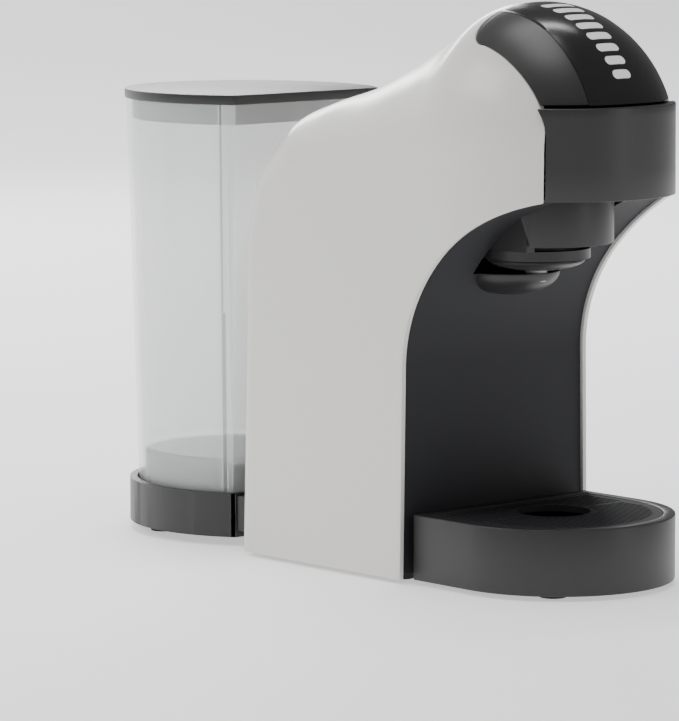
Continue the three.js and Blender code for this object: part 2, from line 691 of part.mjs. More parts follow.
function podGrip() {
  const inner = GRIP_RADIUS - GRIP_WALL;
  const from = -Math.PI / 2 - GRIP_HALF_ANGLE;
  const to = -Math.PI / 2 + GRIP_HALF_ANGLE;
  const outline = [
    ...arc(0, GRIP_Y, GRIP_RADIUS, from, to, 15),
    ...arc(0, GRIP_Y, inner, to, from, 15),
  ];
  return raised(outline, GRIP_BOTTOM, GRIP_TOP);
}

// Shallow fixed dish that the drawer slides over.
function outletDish() {
  const profile = [];
  for (let i = 0; i <= 8; i += 1) {
    const radius = NOZZLE_RADIUS + GAP + ((DISH_RADIUS - NOZZLE_RADIUS - GAP) * i) / 8;
    profile.push([radius, DISH_TOP - DISH_DEPTH * Math.sqrt(1 - (radius / DISH_RADIUS) ** 2 * 0.96)]);
  }
  profile.push(
    [DISH_RADIUS, DISH_TOP],
    [DISH_RADIUS - 2, DISH_TOP],
    [NOZZLE_RADIUS + GAP, DISH_TOP - DISH_DEPTH + 2.4],
  );
  profile.push(profile[0]);
  const geometry = new THREE.LatheGeometry(profile.map(([u, v]) => new THREE.Vector2(u, v)), SIDES);
  geometry.rotateX(Math.PI / 2);
  geometry.translate(0, BREW_Y, 0);
  const dish = solidOf(geometry);
  const arm = block(-9, 9, BREW_Y + 14, 6, DISH_TOP - 5, DISH_TOP - 2);
  const within = across(recessRegion(PANEL_SETBACK - GAP), -WIDE, WIDE);
  return dish.add(arm).intersect(within);
}

// Rounded outlet casing on the recess wall.
function spoutHousing() {
  const geometry = new THREE.SphereGeometry(1, 24, 16);
  geometry.scale(SPOUT_HALF, SPOUT_REACH, SPOUT_DEPTH);
  geometry.translate(0, BREW_Y + 18, DISH_TOP - 7);
  const shape = solidOf(geometry).intersect(slab(100, DISH_TOP - DISH_DEPTH - 1));
  const within = across(recessRegion(PANEL_SETBACK - GAP), -WIDE, WIDE);
  return shape.intersect(within).subtract(rod([0, BREW_Y, 100], [0, BREW_Y, 160], NOZZLE_RADIUS + GAP, NOZZLE_RADIUS + GAP, 20));
}

const outletNozzle = () => ring(
  0,
  BREW_Y,
  DISH_TOP - DISH_DEPTH - NOZZLE_DROP,
  DISH_TOP - 3,
  NOZZLE_RADIUS,
  NOZZLE_BORE,
);

// ---------------------------------------------------------------- drip tray
function trayOutline(inset) {
  const centre = TRAY_BACK - TRAY_STRAIGHT;
  const half = TRAY_HALF - inset;
  return [[half, TRAY_BACK - inset], [-half, TRAY_BACK - inset], ...arc(
    0,
    centre,
    half,
    Math.PI,
    2 * Math.PI,
    25,
  )];
}

const PRONG = { inner: 30, outer: 36, bottom: 6, top: 10, reach: 12 };

function trayBase() {
  const cup = raised(trayOutline(0), TRAY_BOTTOM, TRAY_TOP);
  const seat = TRAY_TOP - GRID_THICK - GAP;
  const basin = raised(trayOutline(TRAY_WALL), TRAY_FLOOR, seat - TRAY_WALL)
    .add(raised(trayOutline(TRAY_RIM + TRAY_LEDGE), seat - TRAY_WALL - 1, TRAY_TOP));
  const rebate = raised(trayOutline(TRAY_RIM), seat, TRAY_TOP + 1);
  const under = raised(trayOutline(TRAY_WALL), TRAY_BOTTOM - 1, TRAY_FLOOR - 2);
  let tray = cup.subtract(basin).subtract(rebate).subtract(under);
  for (const side of [-1, 1]) {
    tray = tray.add(rod([side * 30, -68, TRAY_BOTTOM], [side * 30, -68, TRAY_FLOOR - 1], FOOT_RADIUS, FOOT_RADIUS, 20));
    const notch = block(PRONG.inner - 0.8, PRONG.outer + 0.8, -12, 0, 0, PRONG.top + 0.8);
    tray = tray.subtract(side > 0 ? notch : notch.mirror([1, 0, 0]));
  }
  return tray;
}

// Lift-off grid: flat rim, a field of slots and a round cup hole.
function cupGrid() {
  const lower = TRAY_TOP - GRID_THICK;
  let grid = raised(trayOutline(TRAY_RIM + GAP), lower, TRAY_TOP);
  const field = raised(trayOutline(TRAY_RIM + GAP + GRID_RIM), lower - 1, TRAY_TOP + 1);
  const collar = rod([0, CUP_HOLE_Y, 0], [0, CUP_HOLE_Y, 60], CUP_HOLE_RADIUS + 3);
  const slots = [];
  const rows = [[TRAY_BACK, CUP_HOLE_Y + GRID_BAR / 2], [CUP_HOLE_Y - GRID_BAR / 2, TRAY_BACK - 2 * TRAY_HALF]];
  const reach = Math.floor(TRAY_HALF / GRID_PITCH) * GRID_PITCH;
  for (let x = -reach; x <= reach; x += GRID_PITCH) {
    for (const [back, front] of rows) {
      slots.push(block(x - GRID_SLOT / 2, x + GRID_SLOT / 2, front, back, lower - 1, TRAY_TOP + 1));
    }
  }
  grid = grid.subtract(union(...slots).intersect(field).subtract(collar));
  return grid.subtract(rod([0, CUP_HOLE_Y, 0], [0, CUP_HOLE_Y, 60], CUP_HOLE_RADIUS));
}

// ---------------------------------------------------------------- water tank and dock
function tankOutline(inset, z = 0) {
  const reach = TANK_REACH - inset;
  const half = TANK_HALF - inset;
  const chord = TANK_CHORD - inset;
  const edge = Math.asin(chord / reach);
  return Array.from({ length: 33 }, (_, i) => {
    const angle = -edge + ((Math.PI + 2 * edge) * i) / 32;
    return [half * Math.cos(angle), TANK_Y + reach * Math.sin(angle), z];
  });
}

const tankPrism = (inset, z0, z1) => raised(tankOutline(inset).map(([x, y]) => [x, y]), z0, z1);
const tankTaper = (z) => 0.6 + (TANK_TAPER * (LID_TOP - LID_THICK - GAP - z)) / (LID_TOP - LID_THICK - GAP - TANK_FOOT);
const taperedTank = (inset, z0, z1) => loft([
  tankOutline(inset + tankTaper(z0), z0),
  tankOutline(inset + tankTaper(z1), z1),
]);

function waterTank() {
  const top = LID_TOP - LID_THICK - GAP;
  const body = taperedTank(0, TANK_FOOT, top);
  const inside = taperedTank(TANK_WALL, TANK_FLOOR + 3, top + 2);
  const under = taperedTank(TANK_WALL, TANK_FOOT - 2, TANK_FLOOR);
  const port = rod([0, VALVE_Y, 0], [0, VALVE_Y, 80], VALVE_STEM + 1, VALVE_STEM + 1, 20);
  return body.subtract(inside).subtract(under).subtract(port);
}

function tankLid() {
  const underside = LID_TOP - LID_THICK;
  const plate = tankPrism(0, underside, LID_TOP);
  const skirtInset = 0.6 + TANK_WALL + 1.2;
  const skirt = tankPrism(skirtInset, underside - LID_SKIRT, underside + 1)
    .subtract(tankPrism(skirtInset + 2, underside - LID_SKIRT - 1, underside));
  return plate.add(skirt);
}

// The dock: a rim round the tank's foot, a moat for its skirt, a raised seat and a neck to the body.
function tankDock() {
  const moatOuter = TANK_TAPER - 0.6;
  const seatInset = TANK_TAPER + TANK_WALL + 1.4;
  const outer = tankPrism(DOCK_INSET, DOCK_FLOOR, DOCK_TOP);
  const moat = tankPrism(moatOuter, TANK_FOOT - 2.3, DOCK_TOP + 1).subtract(tankPrism(seatInset, 0, 60));
  const seat = tankPrism(seatInset, DOCK_FLOOR, TANK_FLOOR - 0.4);
  const neck = block(
    -NECK.half,
    NECK.half,
    106,
    TANK_Y - TANK_CHORD + 2,
    BASE_Z + BASE_THICK + GAP,
    NECK.top,
  );
  const under = tankPrism(DOCK_INSET + DOCK_WALL, DOCK_FLOOR - 1, TANK_FOOT - 2.3 - DOCK_WALL)
    .add(tankPrism(seatInset + DOCK_WALL, DOCK_FLOOR - 1, TANK_FLOOR - 0.4 - DOCK_WALL));
  let dock = outer.subtract(moat).add(seat).add(neck).subtract(under.subtract(neck));
  for (const side of [-1, 1]) {
    dock = dock.add(rod([side * 40, TANK_Y + 20, DOCK_FLOOR], [side * 40, TANK_Y + 20, 12], FOOT_RADIUS + 1, FOOT_RADIUS + 1, 20));
  }
  const stemFoot = TANK_FLOOR - 7;
  const boss = rod(
    [0, VALVE_Y, stemFoot - 12],
    [0, VALVE_Y, TANK_FLOOR - 2],
    VALVE_RADIUS + 4,
    VALVE_RADIUS + 4,
    24,
  );
  const pocket = rod([0, VALVE_Y, stemFoot - 2], [0, VALVE_Y, 80], VALVE_RADIUS + 2, VALVE_RADIUS + 2, 24);
  const pin = rod([0, VALVE_Y, stemFoot - 3], [0, VALVE_Y, stemFoot - 0.4], 1.6, 1.6, 12);
  return dock.add(boss).subtract(pocket).add(pin);
}

function tankValve() {
  const seat = TANK_FLOOR + 3;
  return union(
    rod([0, VALVE_Y, seat + 1.4], [0, VALVE_Y, seat + 3.6], VALVE_RADIUS, VALVE_RADIUS - 1, 24),
    rod([0, VALVE_Y, TANK_FLOOR - 7], [0, VALVE_Y, seat + 2], VALVE_STEM, VALVE_STEM, 20),
    rod(
      [0, VALVE_Y, TANK_FLOOR - 7],
      [0, VALVE_Y, TANK_FLOOR - 5.8],
      VALVE_RADIUS - 0.5,
      VALVE_RADIUS - 0.5,
      20,
    ),
  );
}

const valveSeal = () => ring(
  0,
  VALVE_Y,
  TANK_FLOOR + 3 + GAP,
  TANK_FLOOR + 3 + 1.4 - GAP / 3,
  VALVE_RADIUS,
  VALVE_STEM + GAP,
);

function valveSpring() {
  const turns = 2.5;
  const radius = VALVE_STEM + 1.3;
  const route = Array.from({ length: 26 }, (_, i) => {
    const angle = (2 * Math.PI * turns * i) / 25;
    return [radius * Math.cos(angle), VALVE_Y + radius * Math.sin(angle), TANK_FLOOR - 5.1 + (4.2 * i) / 25];
  });
  return tube(route, 0.4, 6, 40);
}

// ---------------------------------------------------------------- base, feet and fasteners
const plan = (inset, rear) => [
  [sideWall(0, inset), inset],
  [sideWall(0, inset), rear - 8],
  [sideWall(0, inset) - 8, rear],
  [-sideWall(0, inset) + 8, rear],
  [-sideWall(0, inset), rear - 8],
  [-sideWall(0, inset), inset],
];

function basePlate() {
  const inset = SHELL_WALL + GAP + 0.4;
  let plate = raised(plan(inset, BODY_REAR - SHELL_WALL - 1), BASE_Z, BASE_Z + BASE_THICK);
  for (const side of [-1, 1]) {
    const prong = block(PRONG.inner, PRONG.outer, -PRONG.reach + 2, inset + 6, PRONG.bottom, PRONG.top);
    const heel = block(
      PRONG.inner,
      PRONG.outer,
      inset + PANEL_SETBACK + PANEL_WALL,
      inset + 9,
      PRONG.bottom,
      PRONG.top,
    );
    const arm = prong.add(heel);
    plate = plate.add(side > 0 ? arm : arm.mirror([1, 0, 0]));
  }
  return plate;
}

const foot = (x, y, top) => rod([x, y, 0], [x, y, top], FOOT_RADIUS - 1, FOOT_RADIUS, 20);
const screw = (x, y) => rod([x, y, BASE_Z - GAP - 1.4], [x, y, BASE_Z - GAP], 2.2, 3, 12);

// ---------------------------------------------------------------- inside the body
const PUMP = { y: 62, z: 34, radius: 15, length: 52 };
const THERMO = { y: 50, z: 128, half: 26, depth: 30, height: 36 };
const METER = { x: 30, y: 92, z: 60, radius: 11 };

function pump() {
  const barrel = rod(
    [0, PUMP.y - PUMP.length / 2, PUMP.z],
    [0, PUMP.y + PUMP.length / 2, PUMP.z],
    PUMP.radius,
    PUMP.radius,
    20,
  );
  const coil = block(-17, 17, PUMP.y - 12, PUMP.y + 14, PUMP.z - 14, PUMP.z + 17);
  const nose = rod(
    [0, PUMP.y - PUMP.length / 2 - 10, PUMP.z],
    [0, PUMP.y - PUMP.length / 2 + 2, PUMP.z],
    5,
    7,
    16,
  );
  const inlet = rod(
    [0, PUMP.y + PUMP.length / 2 - 2, PUMP.z],
    [0, PUMP.y + PUMP.length / 2 + 7, PUMP.z],
    4,
    4,
    16,
  );
  return union(barrel, coil, nose, inlet);
}

function pumpBracket() {
  const floor = BASE_Z + BASE_THICK + GAP;
  const stand = block(-22, 22, PUMP.y - 22, PUMP.y - 15, floor, PUMP.z + 8)
    .add(block(-22, 22, PUMP.y + 17, PUMP.y + 24, floor, PUMP.z + 8))
    .add(block(-22, 22, PUMP.y - 22, PUMP.y + 24, floor, floor + 3));
  return stand.subtract(rod([0, PUMP.y - 40, PUMP.z], [0, PUMP.y + 40, PUMP.z], PUMP.radius + GAP, PUMP.radius + GAP, 20));
}

function thermoblock() {
  const { y, z, half, depth, height } = THERMO;
  let body = block(-half, half, y - depth / 2, y + depth / 2, z - height / 2, z + height / 2);
  for (const step of [-1, 0, 1]) {
    const fin = block(
      -half - 2,
      half + 2,
      y - depth / 2 - 2,
      y + depth / 2 + 2,
      z + 11 * step - 2,
      z + 11 * step + 2,
    );
    body = body.add(fin);
  }
  const inlet = rod([0, y, z - height / 2 - 7], [0, y, z - height / 2 + 1], 4, 4, 16);
  const outlet = rod([0, y, z + height / 2 - 1], [0, y, z + height / 2 + 7], 4, 4, 16);
  return union(body, inlet, outlet);
}

function flowMeter() {
  const { x, y, z, radius } = METER;
  return union(
    rod([x, y, z - 8], [x, y, z + 8], radius, radius, 20),
    rod([x, y, z - 15], [x, y, z - 7], 3.5, 3.5, 12),
    rod([x - 18, y, z + 4], [x - 5, y, z + 4], 3.5, 3.5, 12),
  );
}

const hoses = {
  inlet_hose: [[METER.x, METER.y, METER.z - 15.5], [METER.x, METER.y + 2, 34], [METER.x - 6, METER.y + 8, 30], [METER.x - 14, METER.y + 8, 29.5]],
  pump_hose: [
    [0, PUMP.y - PUMP.length / 2 - 10.6, PUMP.z],
    [0, PUMP.y - PUMP.length / 2 - 13, PUMP.z + 0.3],
    [0, PUMP.y - PUMP.length / 2 - 17, PUMP.z + 8],
    [0, PUMP.y - PUMP.length / 2 - 12, PUMP.z + 34],
    [0, THERMO.y, THERMO.z - 44],
    [0, THERMO.y, THERMO.z - THERMO.height / 2 - 7.4],
  ],
  brew_hose: [
    [0, THERMO.y, THERMO.z + THERMO.height / 2 + 7.4],
    [0, THERMO.y - 3, THERMO.z + 48],
    [0, THERMO.y - 30, THERMO.z + 66],
    [0, BREW_Y + 25, THERMO.z + 62],
    [0, BREW_Y + 18, HOUSING_TOP + 6],
    [0, BREW_Y + 18, HOUSING_TOP + 0.4],
  ],
};

const mainBoard = () => block(40, 41.6, 34, 84, 70, 130);

// ---------------------------------------------------------------- power switch and cord gland
function switchBezel() {
  const face = sideWall(SWITCH.z, 0) - 0.7;
  const { y, z, halfLength, halfHeight } = SWITCH;
  const frame = block(face - 9, face, y - halfLength, y + halfLength, z - halfHeight, z + halfHeight);
  const flange = block(
    face - 9,
    sideWall(SWITCH.z + 12, SHELL_WALL) - 0.8,
    y - halfLength - 3,
    y + halfLength + 3,
    z - halfHeight - 3,
    z + halfHeight + 3,
  );
  const well = block(
    face - 7,
    face + 5,
    y - halfLength + 2,
    y + halfLength - 2,
    z - halfHeight + 2,
    z + halfHeight - 2,
  );
  return frame.add(flange).subtract(well);
}

const ROCKER = { pivotIn: 4.2, halfLength: 8.2, halfHeight: 4.6 };

function powerRocker() {
  const face = sideWall(SWITCH.z, 0) - 0.7;
  const { pivotIn, halfLength, halfHeight } = ROCKER;
  const outline = [
    [face - pivotIn - 1, SWITCH.y - 5],
    [face - 1.4, SWITCH.y - halfLength],
    [face - 0.6, SWITCH.y],
    [face - 1.4, SWITCH.y + halfLength],
    [face - pivotIn - 1, SWITCH.y + 5],
  ];
  return raised(outline, SWITCH.z - halfHeight, SWITCH.z + halfHeight);
}

function cordGland() {
  const face = sideWall(GLAND.z, 0) - 0.5;
  const sleeve = rod(
    [face - 8, GLAND.y, GLAND.z],
    [face, GLAND.y, GLAND.z],
    GLAND.radius,
    GLAND.radius,
    16,
  );
  const collar = rod(
    [face - 8, GLAND.y, GLAND.z],
    [face - 2.8, GLAND.y, GLAND.z],
    GLAND.radius + 1.5,
    GLAND.radius + 1.5,
    16,
  );
  return sleeve.add(collar).subtract(rod([0, GLAND.y, GLAND.z], [90, GLAND.y, GLAND.z], 3.2, 3.2, 16));
}

// ---------------------------------------------------------------- assembly
const machine = new THREE.Group();
const put = (name, solid, material) => machine.add(pieceOf(name, solid, material));

put('outer_shell', outerShell(), PEARL);
put('rear_panel', rearPanel(), BLACK_SATIN);
put('front_panel', frontPanel(), BLACK_MATTE);
put('head_fascia', headFascia(), BLACK_SATIN);
put('head_core', headCore(), BLACK_MATTE);
put('base_plate', basePlate(), BLACK_MATTE);
put('tank_dock', tankDock(), BLACK_SATIN);

put('lever_hood', leverHood(), BLACK_SATIN);
put('lever_pin', leverPin(), STEEL);
put('control_strip', controlStrip(), BLACK_SATIN);
put('control_board', controlBoard(), BOARD_GREEN);
for (let number = 0; number < BAR_COUNT; number += 1) put(
  `light_bar_${number + 1}`,
  lightBar(number),
  LIGHT_WHITE,
);

put('brew_housing', brewHousing(), BLACK_SATIN);
put('press_plate', pressPlate(), ALLOY);
put('piercing_needle', piercingNeedle(), STEEL);
put('pod_gasket', podGasket(), SILICONE);
put('pod_holder', podHolder(), BLACK_MATTE);
put('pod_grip', podGrip(), BLACK_SATIN);
put('outlet_dish', outletDish(), BLACK_SATIN);
put('spout_housing', spoutHousing(), BLACK_SATIN);
put('outlet_nozzle', outletNozzle(), SILICONE);

put('tray_base', trayBase(), BLACK_SATIN);
put('cup_grid', cupGrid(), BLACK_MATTE);
put('water_tank', waterTank(), CLEAR);
put('tank_lid', tankLid(), BLACK_SATIN);
put('tank_valve', tankValve(), BLACK_SATIN);
put('valve_seal', valveSeal(), SILICONE);
put('valve_spring', valveSpring(), STEEL);

put('pump', pump(), ALLOY);
put('pump_bracket', pumpBracket(), RUBBER);
put('thermoblock', thermoblock(), ALLOY);
put('flow_meter', flowMeter(), SILICONE);
for (const [name, route] of Object.entries(hoses)) put(name, tube(route, 2.5), SILICONE);
put('main_board', mainBoard(), BOARD_GREEN);
put('switch_bezel', switchBezel(), BLACK_SATIN);
put('power_rocker', powerRocker(), BLACK_MATTE);
put('cord_gland', cordGland(), RUBBER);

const bodyFoot = { x: 46, y: 14 };
const dockFoot = { x: 40, y: TANK_Y + 20 };
for (const [side, name] of [[-1, 'left'], [1, 'right']]) {
  put(`body_foot_${name}`, foot(side * bodyFoot.x, bodyFoot.y, BASE_Z - GAP), RUBBER);
  put(`dock_foot_${name}`, foot(side * dockFoot.x, dockFoot.y, DOCK_FLOOR - GAP), RUBBER);
  put(`tray_foot_${name}`, foot(side * 30, -68, TRAY_BOTTOM - GAP), RUBBER);
}
[[-40, 30], [40, 30], [-40, 95], [40, 95]].forEach(([x, y], i) => put(`base_screw_${i + 1}`, screw(x, y), STEEL));

const front = TRAY_BACK - TRAY_STRAIGHT - TRAY_HALF;
const rear = TANK_Y + TANK_REACH;
machine.position.y = -(front + rear) / 2;

export default machine;
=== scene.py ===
"""Looks of a slim pod coffee machine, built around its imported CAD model.

Positions are in millimetres while a piece is shaped. X runs to the machine's right, Y is measured
from the front face of the column and runs rearwards, and Z is up from the table.
"""

from __future__ import annotations

import logging
import math
from dataclasses import dataclass, field
from enum import Enum
from typing import Callable, Iterable, Sequence

import bmesh
import bpy
import numpy as np
from mathutils import Matrix, Vector

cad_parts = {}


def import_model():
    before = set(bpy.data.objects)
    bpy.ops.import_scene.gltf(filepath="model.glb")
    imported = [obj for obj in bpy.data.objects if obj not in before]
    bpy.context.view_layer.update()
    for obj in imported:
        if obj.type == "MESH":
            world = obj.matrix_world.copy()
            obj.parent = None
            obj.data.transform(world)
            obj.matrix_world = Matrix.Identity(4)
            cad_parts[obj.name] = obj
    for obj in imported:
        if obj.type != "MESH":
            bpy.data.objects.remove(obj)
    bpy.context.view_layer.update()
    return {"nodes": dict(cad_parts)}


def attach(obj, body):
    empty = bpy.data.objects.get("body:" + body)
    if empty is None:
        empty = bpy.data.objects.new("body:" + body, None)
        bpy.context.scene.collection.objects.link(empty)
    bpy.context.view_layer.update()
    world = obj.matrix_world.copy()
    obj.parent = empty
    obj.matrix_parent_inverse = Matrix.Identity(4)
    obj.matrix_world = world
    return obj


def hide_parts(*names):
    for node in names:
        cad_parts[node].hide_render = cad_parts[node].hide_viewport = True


LOG = logging.getLogger("pod_machine")
MM = 0.001
# Where the front face of the column lies in the shared frame, in millimetres.
COLUMN_Y = -70.25
# Side faces of the large round blocks.
FINE_SIDES = 192
Point = tuple[float, float, float]


def place(x: float, y: float, z: float) -> Vector:
    """Turns workshop millimetres into a point of the shared frame in metres."""
    return Vector((x * MM, (y + COLUMN_Y) * MM, z * MM))


def power(share: np.ndarray, exponent: float) -> np.ndarray:
    """Height of a superellipse's quarter at a share of its half axis."""
    return np.maximum(0.0, 1.0 - np.clip(share, 0.0, 1.0) ** exponent) ** (1.0 / exponent)


def smoothstep(value: np.ndarray, low: float, high: float) -> np.ndarray:
    """Smooth ramp from 0 at low to 1 at high."""
    t = np.clip((np.asarray(value, float) - low) / (high - low), 0.0, 1.0)
    return t * t * (3.0 - 2.0 * t)


# ------------------------------------------------------------------------------------ bench
class Bench:
    """Modelling moves that every sub-assembly shares."""

    @staticmethod
    def clear() -> None:
        """Leaves edit mode and deselects everything."""
        if bpy.context.object is not None and bpy.context.object.mode != "OBJECT":
            bpy.ops.object.mode_set(mode="OBJECT")
        bpy.ops.object.select_all(action="DESELECT")

    @staticmethod
    def pick(obj: bpy.types.Object) -> None:
        """Makes one object the only selected and active one."""
        Bench.clear()
        obj.select_set(True)
        bpy.context.view_layer.objects.active = obj

    @staticmethod
    def settle(obj: bpy.types.Object) -> bpy.types.Object:
        """Puts the object's origin at the frame's origin, unturned and unscaled."""
        Bench.pick(obj)
        bpy.ops.object.transform_apply(location=True, rotation=True, scale=True)
        return obj

    @staticmethod
    def cylinder(name: str, centre: tuple[float, float], low: float, high: float, radius: float,
                 sides: int = 128) -> bpy.types.Object:
        """Adds an upright cylinder.

        Args:
            name: The piece's name.
            centre: Its axis in plan.
            low: Height of its foot.
            high: Height of its top.
            radius: Its radius.
            sides: Number of side faces.

        Returns:
            The new object.
        """
        Bench.clear()
        bpy.ops.mesh.primitive_cylinder_add(
            vertices=sides, radius=radius * MM, depth=(high - low) * MM,
            location=place(centre[0], centre[1], (low + high) / 2))
        obj = bpy.context.object
        obj.name = name
        return Bench.settle(obj)

    @staticmethod
    def cube(name: str, low: Point, high: Point) -> bpy.types.Object:
        """Adds a box between two corners."""
        Bench.clear()
        bpy.ops.mesh.primitive_cube_add(size=1.0, location=(place(*low) + place(*high)) / 2)
        obj = bpy.context.object
        obj.name = name
        obj.scale = place(*high) - place(*low)
        return Bench.settle(obj)

    @staticmethod
    def faces(obj: bpy.types.Object, keep: Callable[[Vector, Vector], bool]) -> None:
        """Enters edit mode and selects the faces whose centre (in mm) and normal pass a test."""
        Bench.pick(obj)
        bpy.ops.object.mode_set(mode="EDIT")
        bpy.ops.mesh.select_mode(type="FACE")
        bpy.ops.mesh.select_all(action="DESELECT")
        mesh = bmesh.from_edit_mesh(obj.data)
        for face in mesh.faces:
            centre = face.calc_center_median()
            spot = Vector((centre.x / MM, centre.y / MM - COLUMN_Y, centre.z / MM))
            face.select_set(keep(spot, face.normal))
        bmesh.update_edit_mesh(obj.data)

    @staticmethod
    def edges(obj: bpy.types.Object, keep: Callable[[Vector, Vector], bool]) -> None:
        """Enters edit mode and selects the edges whose middle (in mm) and direction pass a test."""
        Bench.pick(obj)
        bpy.ops.object.mode_set(mode="EDIT")
        bpy.ops.mesh.select_mode(type="EDGE")
        bpy.ops.mesh.select_all(action="DESELECT")
        mesh = bmesh.from_edit_mesh(obj.data)
        for edge in mesh.edges:
            a, b = edge.verts[0].co, edge.verts[1].co
            middle = (a + b) / 2
            spot = Vector((middle.x / MM, middle.y / MM - COLUMN_Y, middle.z / MM))
            edge.select_set(keep(spot, (b - a).normalized()))
        bmesh.update_edit_mesh(obj.data)

    @staticmethod
    def whole(obj: bpy.types.Object) -> None:
        """Enters edit mode with the whole object selected."""
        Bench.pick(obj)
        bpy.ops.object.mode_set(mode="EDIT")
        bpy.ops.mesh.select_all(action="SELECT")

    @staticmethod
    def leave() -> None:
        """Returns to object mode."""
        bpy.ops.object.mode_set(mode="OBJECT")

    @staticmethod
    def push(dx: float = 0.0, dy: float = 0.0, dz: float = 0.0) -> None:
        """Extrudes the selected faces by a vector."""
        bpy.ops.mesh.extrude_region_move(
            TRANSFORM_OT_translate={"value": (dx * MM, dy * MM, dz * MM)})

    @staticmethod
    def inset(width: float) -> None:
        """Insets the selected faces."""
        bpy.ops.mesh.inset(thickness=width * MM, depth=0.0, use_even_offset=True)

    @staticmethod
    def cut(obj: bpy.types.Object, point: Point, normal: Point) -> None:
        """Cuts a solid by a plane, drops what lies on the normal's side and closes the cut."""
        Bench.whole(obj)
        bpy.ops.mesh.bisect(plane_co=place(*point), plane_no=normal, use_fill=True, clear_outer=True)
        Bench.leave()

    @staticmethod
    def modify(obj: bpy.types.Object, kind: str, **settings: object) -> bpy.types.Object:
        """Adds a modifier with its settings and applies it."""
        Bench.pick(obj)
        modifier = obj.modifiers.new(kind.lower(), kind)
        for key, value in settings.items():
            setattr(modifier, key, value)
        bpy.ops.object.modifier_apply(modifier=modifier.name)
        return obj

    @staticmethod
    def combine(obj: bpy.types.Object, tools: Iterable[bpy.types.Object],
                operation: str) -> bpy.types.Object:
        """Joins or cuts a solid with tool solids, which are used up.

        Args:
            obj: The solid that stays.
            tools: The solids it is joined to or cut by.
            operation: UNION, DIFFERENCE or INTERSECT.

        Returns:
            The same object.
        """
        for tool in tools:
            Bench.modify(obj, "BOOLEAN", operation=operation, object=tool, solver="EXACT")
            bpy.data.objects.remove(tool, do_unlink=True)
        return obj

    @staticmethod
    def soften(obj: bpy.types.Object, width: float, angle: float = 40.0,
               segments: int = 3) -> bpy.types.Object:
        """Rounds the edges that are sharper than an angle."""
        return Bench.modify(obj, "BEVEL", width=width * MM, segments=segments, limit_method="ANGLE",
                            angle_limit=math.radians(angle), harden_normals=False)

    @staticmethod
    def smooth(obj: bpy.types.Object, angle: float = 32.0) -> bpy.types.Object:
        """Shades smoothly across edges flatter than an angle."""
        Bench.pick(obj)
        bpy.ops.object.shade_smooth_by_angle(angle=math.radians(angle))
        return obj

    @staticmethod
    def outwards(obj: bpy.types.Object) -> bpy.types.Object:
        """Merges doubles and points all faces of a closed solid outwards."""
        Bench.whole(obj)
        bpy.ops.mesh.remove_doubles(threshold=0.00001)
        bpy.ops.mesh.normals_make_consistent(inside=False)
        Bench.leave()
        return obj

    @staticmethod
    def merge(obj: bpy.types.Object) -> bpy.types.Object:
        """Merges points that lie on each other."""
        Bench.whole(obj)
        bpy.ops.mesh.remove_doubles(threshold=0.00002)
        Bench.leave()
        return obj

    @staticmethod
    def drape(name: str, across: int, along: int, where: Callable[[np.ndarray, np.ndarray], np.ndarray],
              facing: Point) -> bpy.types.Object:
        """Adds a flat grid and lays its points over a form.

        Args:
            name: The piece's name.
            across: Cells in the grid's first direction.
            along: Cells in its second direction.
            where: Gives millimetre points, one row each, from the two shares (0 to 1) of every point.
            facing: Rough direction that the outside looks in, at most places.

        Returns:
            The sheet, with no thickness yet.
        """
        Bench.clear()
        bpy.ops.mesh.primitive_grid_add(x_subdivisions=across, y_subdivisions=along, size=1.0)
        obj = bpy.context.object
        obj.name = name
        count = len(obj.data.vertices)
        flat = np.empty(count * 3)
        obj.data.vertices.foreach_get("co", flat)
        flat = flat.reshape(-1, 3)
        points = where(flat[:, 0] + 0.5, flat[:, 1] + 0.5)
        points = np.column_stack([points[:, 0], points[:, 1] + COLUMN_Y, points[:, 2]]) * MM
        obj.data.vertices.foreach_set("co", points.ravel())
        obj.data.update()
        lean = sum((f.normal.dot(Vector(facing)) * f.area for f in obj.data.polygons), 0.0)
        if lean < 0:
            Bench.whole(obj)
            bpy.ops.mesh.flip_normals()
            Bench.leave()
        return obj

    @staticmethod
    def turn(name: str, profile: Sequence[tuple[float, float]], centre: tuple[float, float],
             steps: int = 96) -> bpy.types.Object:
        """Spins a closed profile of (radius, height) about an upright axis."""
        Bench.clear()
        bpy.ops.mesh.primitive_circle_add(vertices=len(profile), radius=MM, fill_type="NOTHING")
        obj = bpy.context.object
        obj.name = name
        for vertex, (radius, z) in zip(obj.data.vertices, profile):
            vertex.co = place(centre[0] + radius, centre[1], z)
        Bench.whole(obj)
        bpy.ops.mesh.spin(steps=steps, angle=2 * math.pi, center=place(*centre, 0), axis=(0, 0, 1))
        Bench.leave()
        return Bench.outwards(obj)


# ------------------------------------------------------------------------------------ finishes
class Slot(Enum):
    """Material slots of the record."""

    PEARL = "pearl"
    SATIN_BLACK = "satin_black"
    MATT_BLACK = "matt_black"
    GLOSS_BLACK = "gloss_black"
    CLEAR_TANK = "clear_tank"
    LIGHT_WHITE = "light_white"
    STEEL = "steel"
    ALLOY = "alloy"
    RUBBER = "rubber"
    SILICONE = "silicone"
    CIRCUIT_BOARD = "circuit_board"
    PALE_PLASTIC = "pale_plastic"


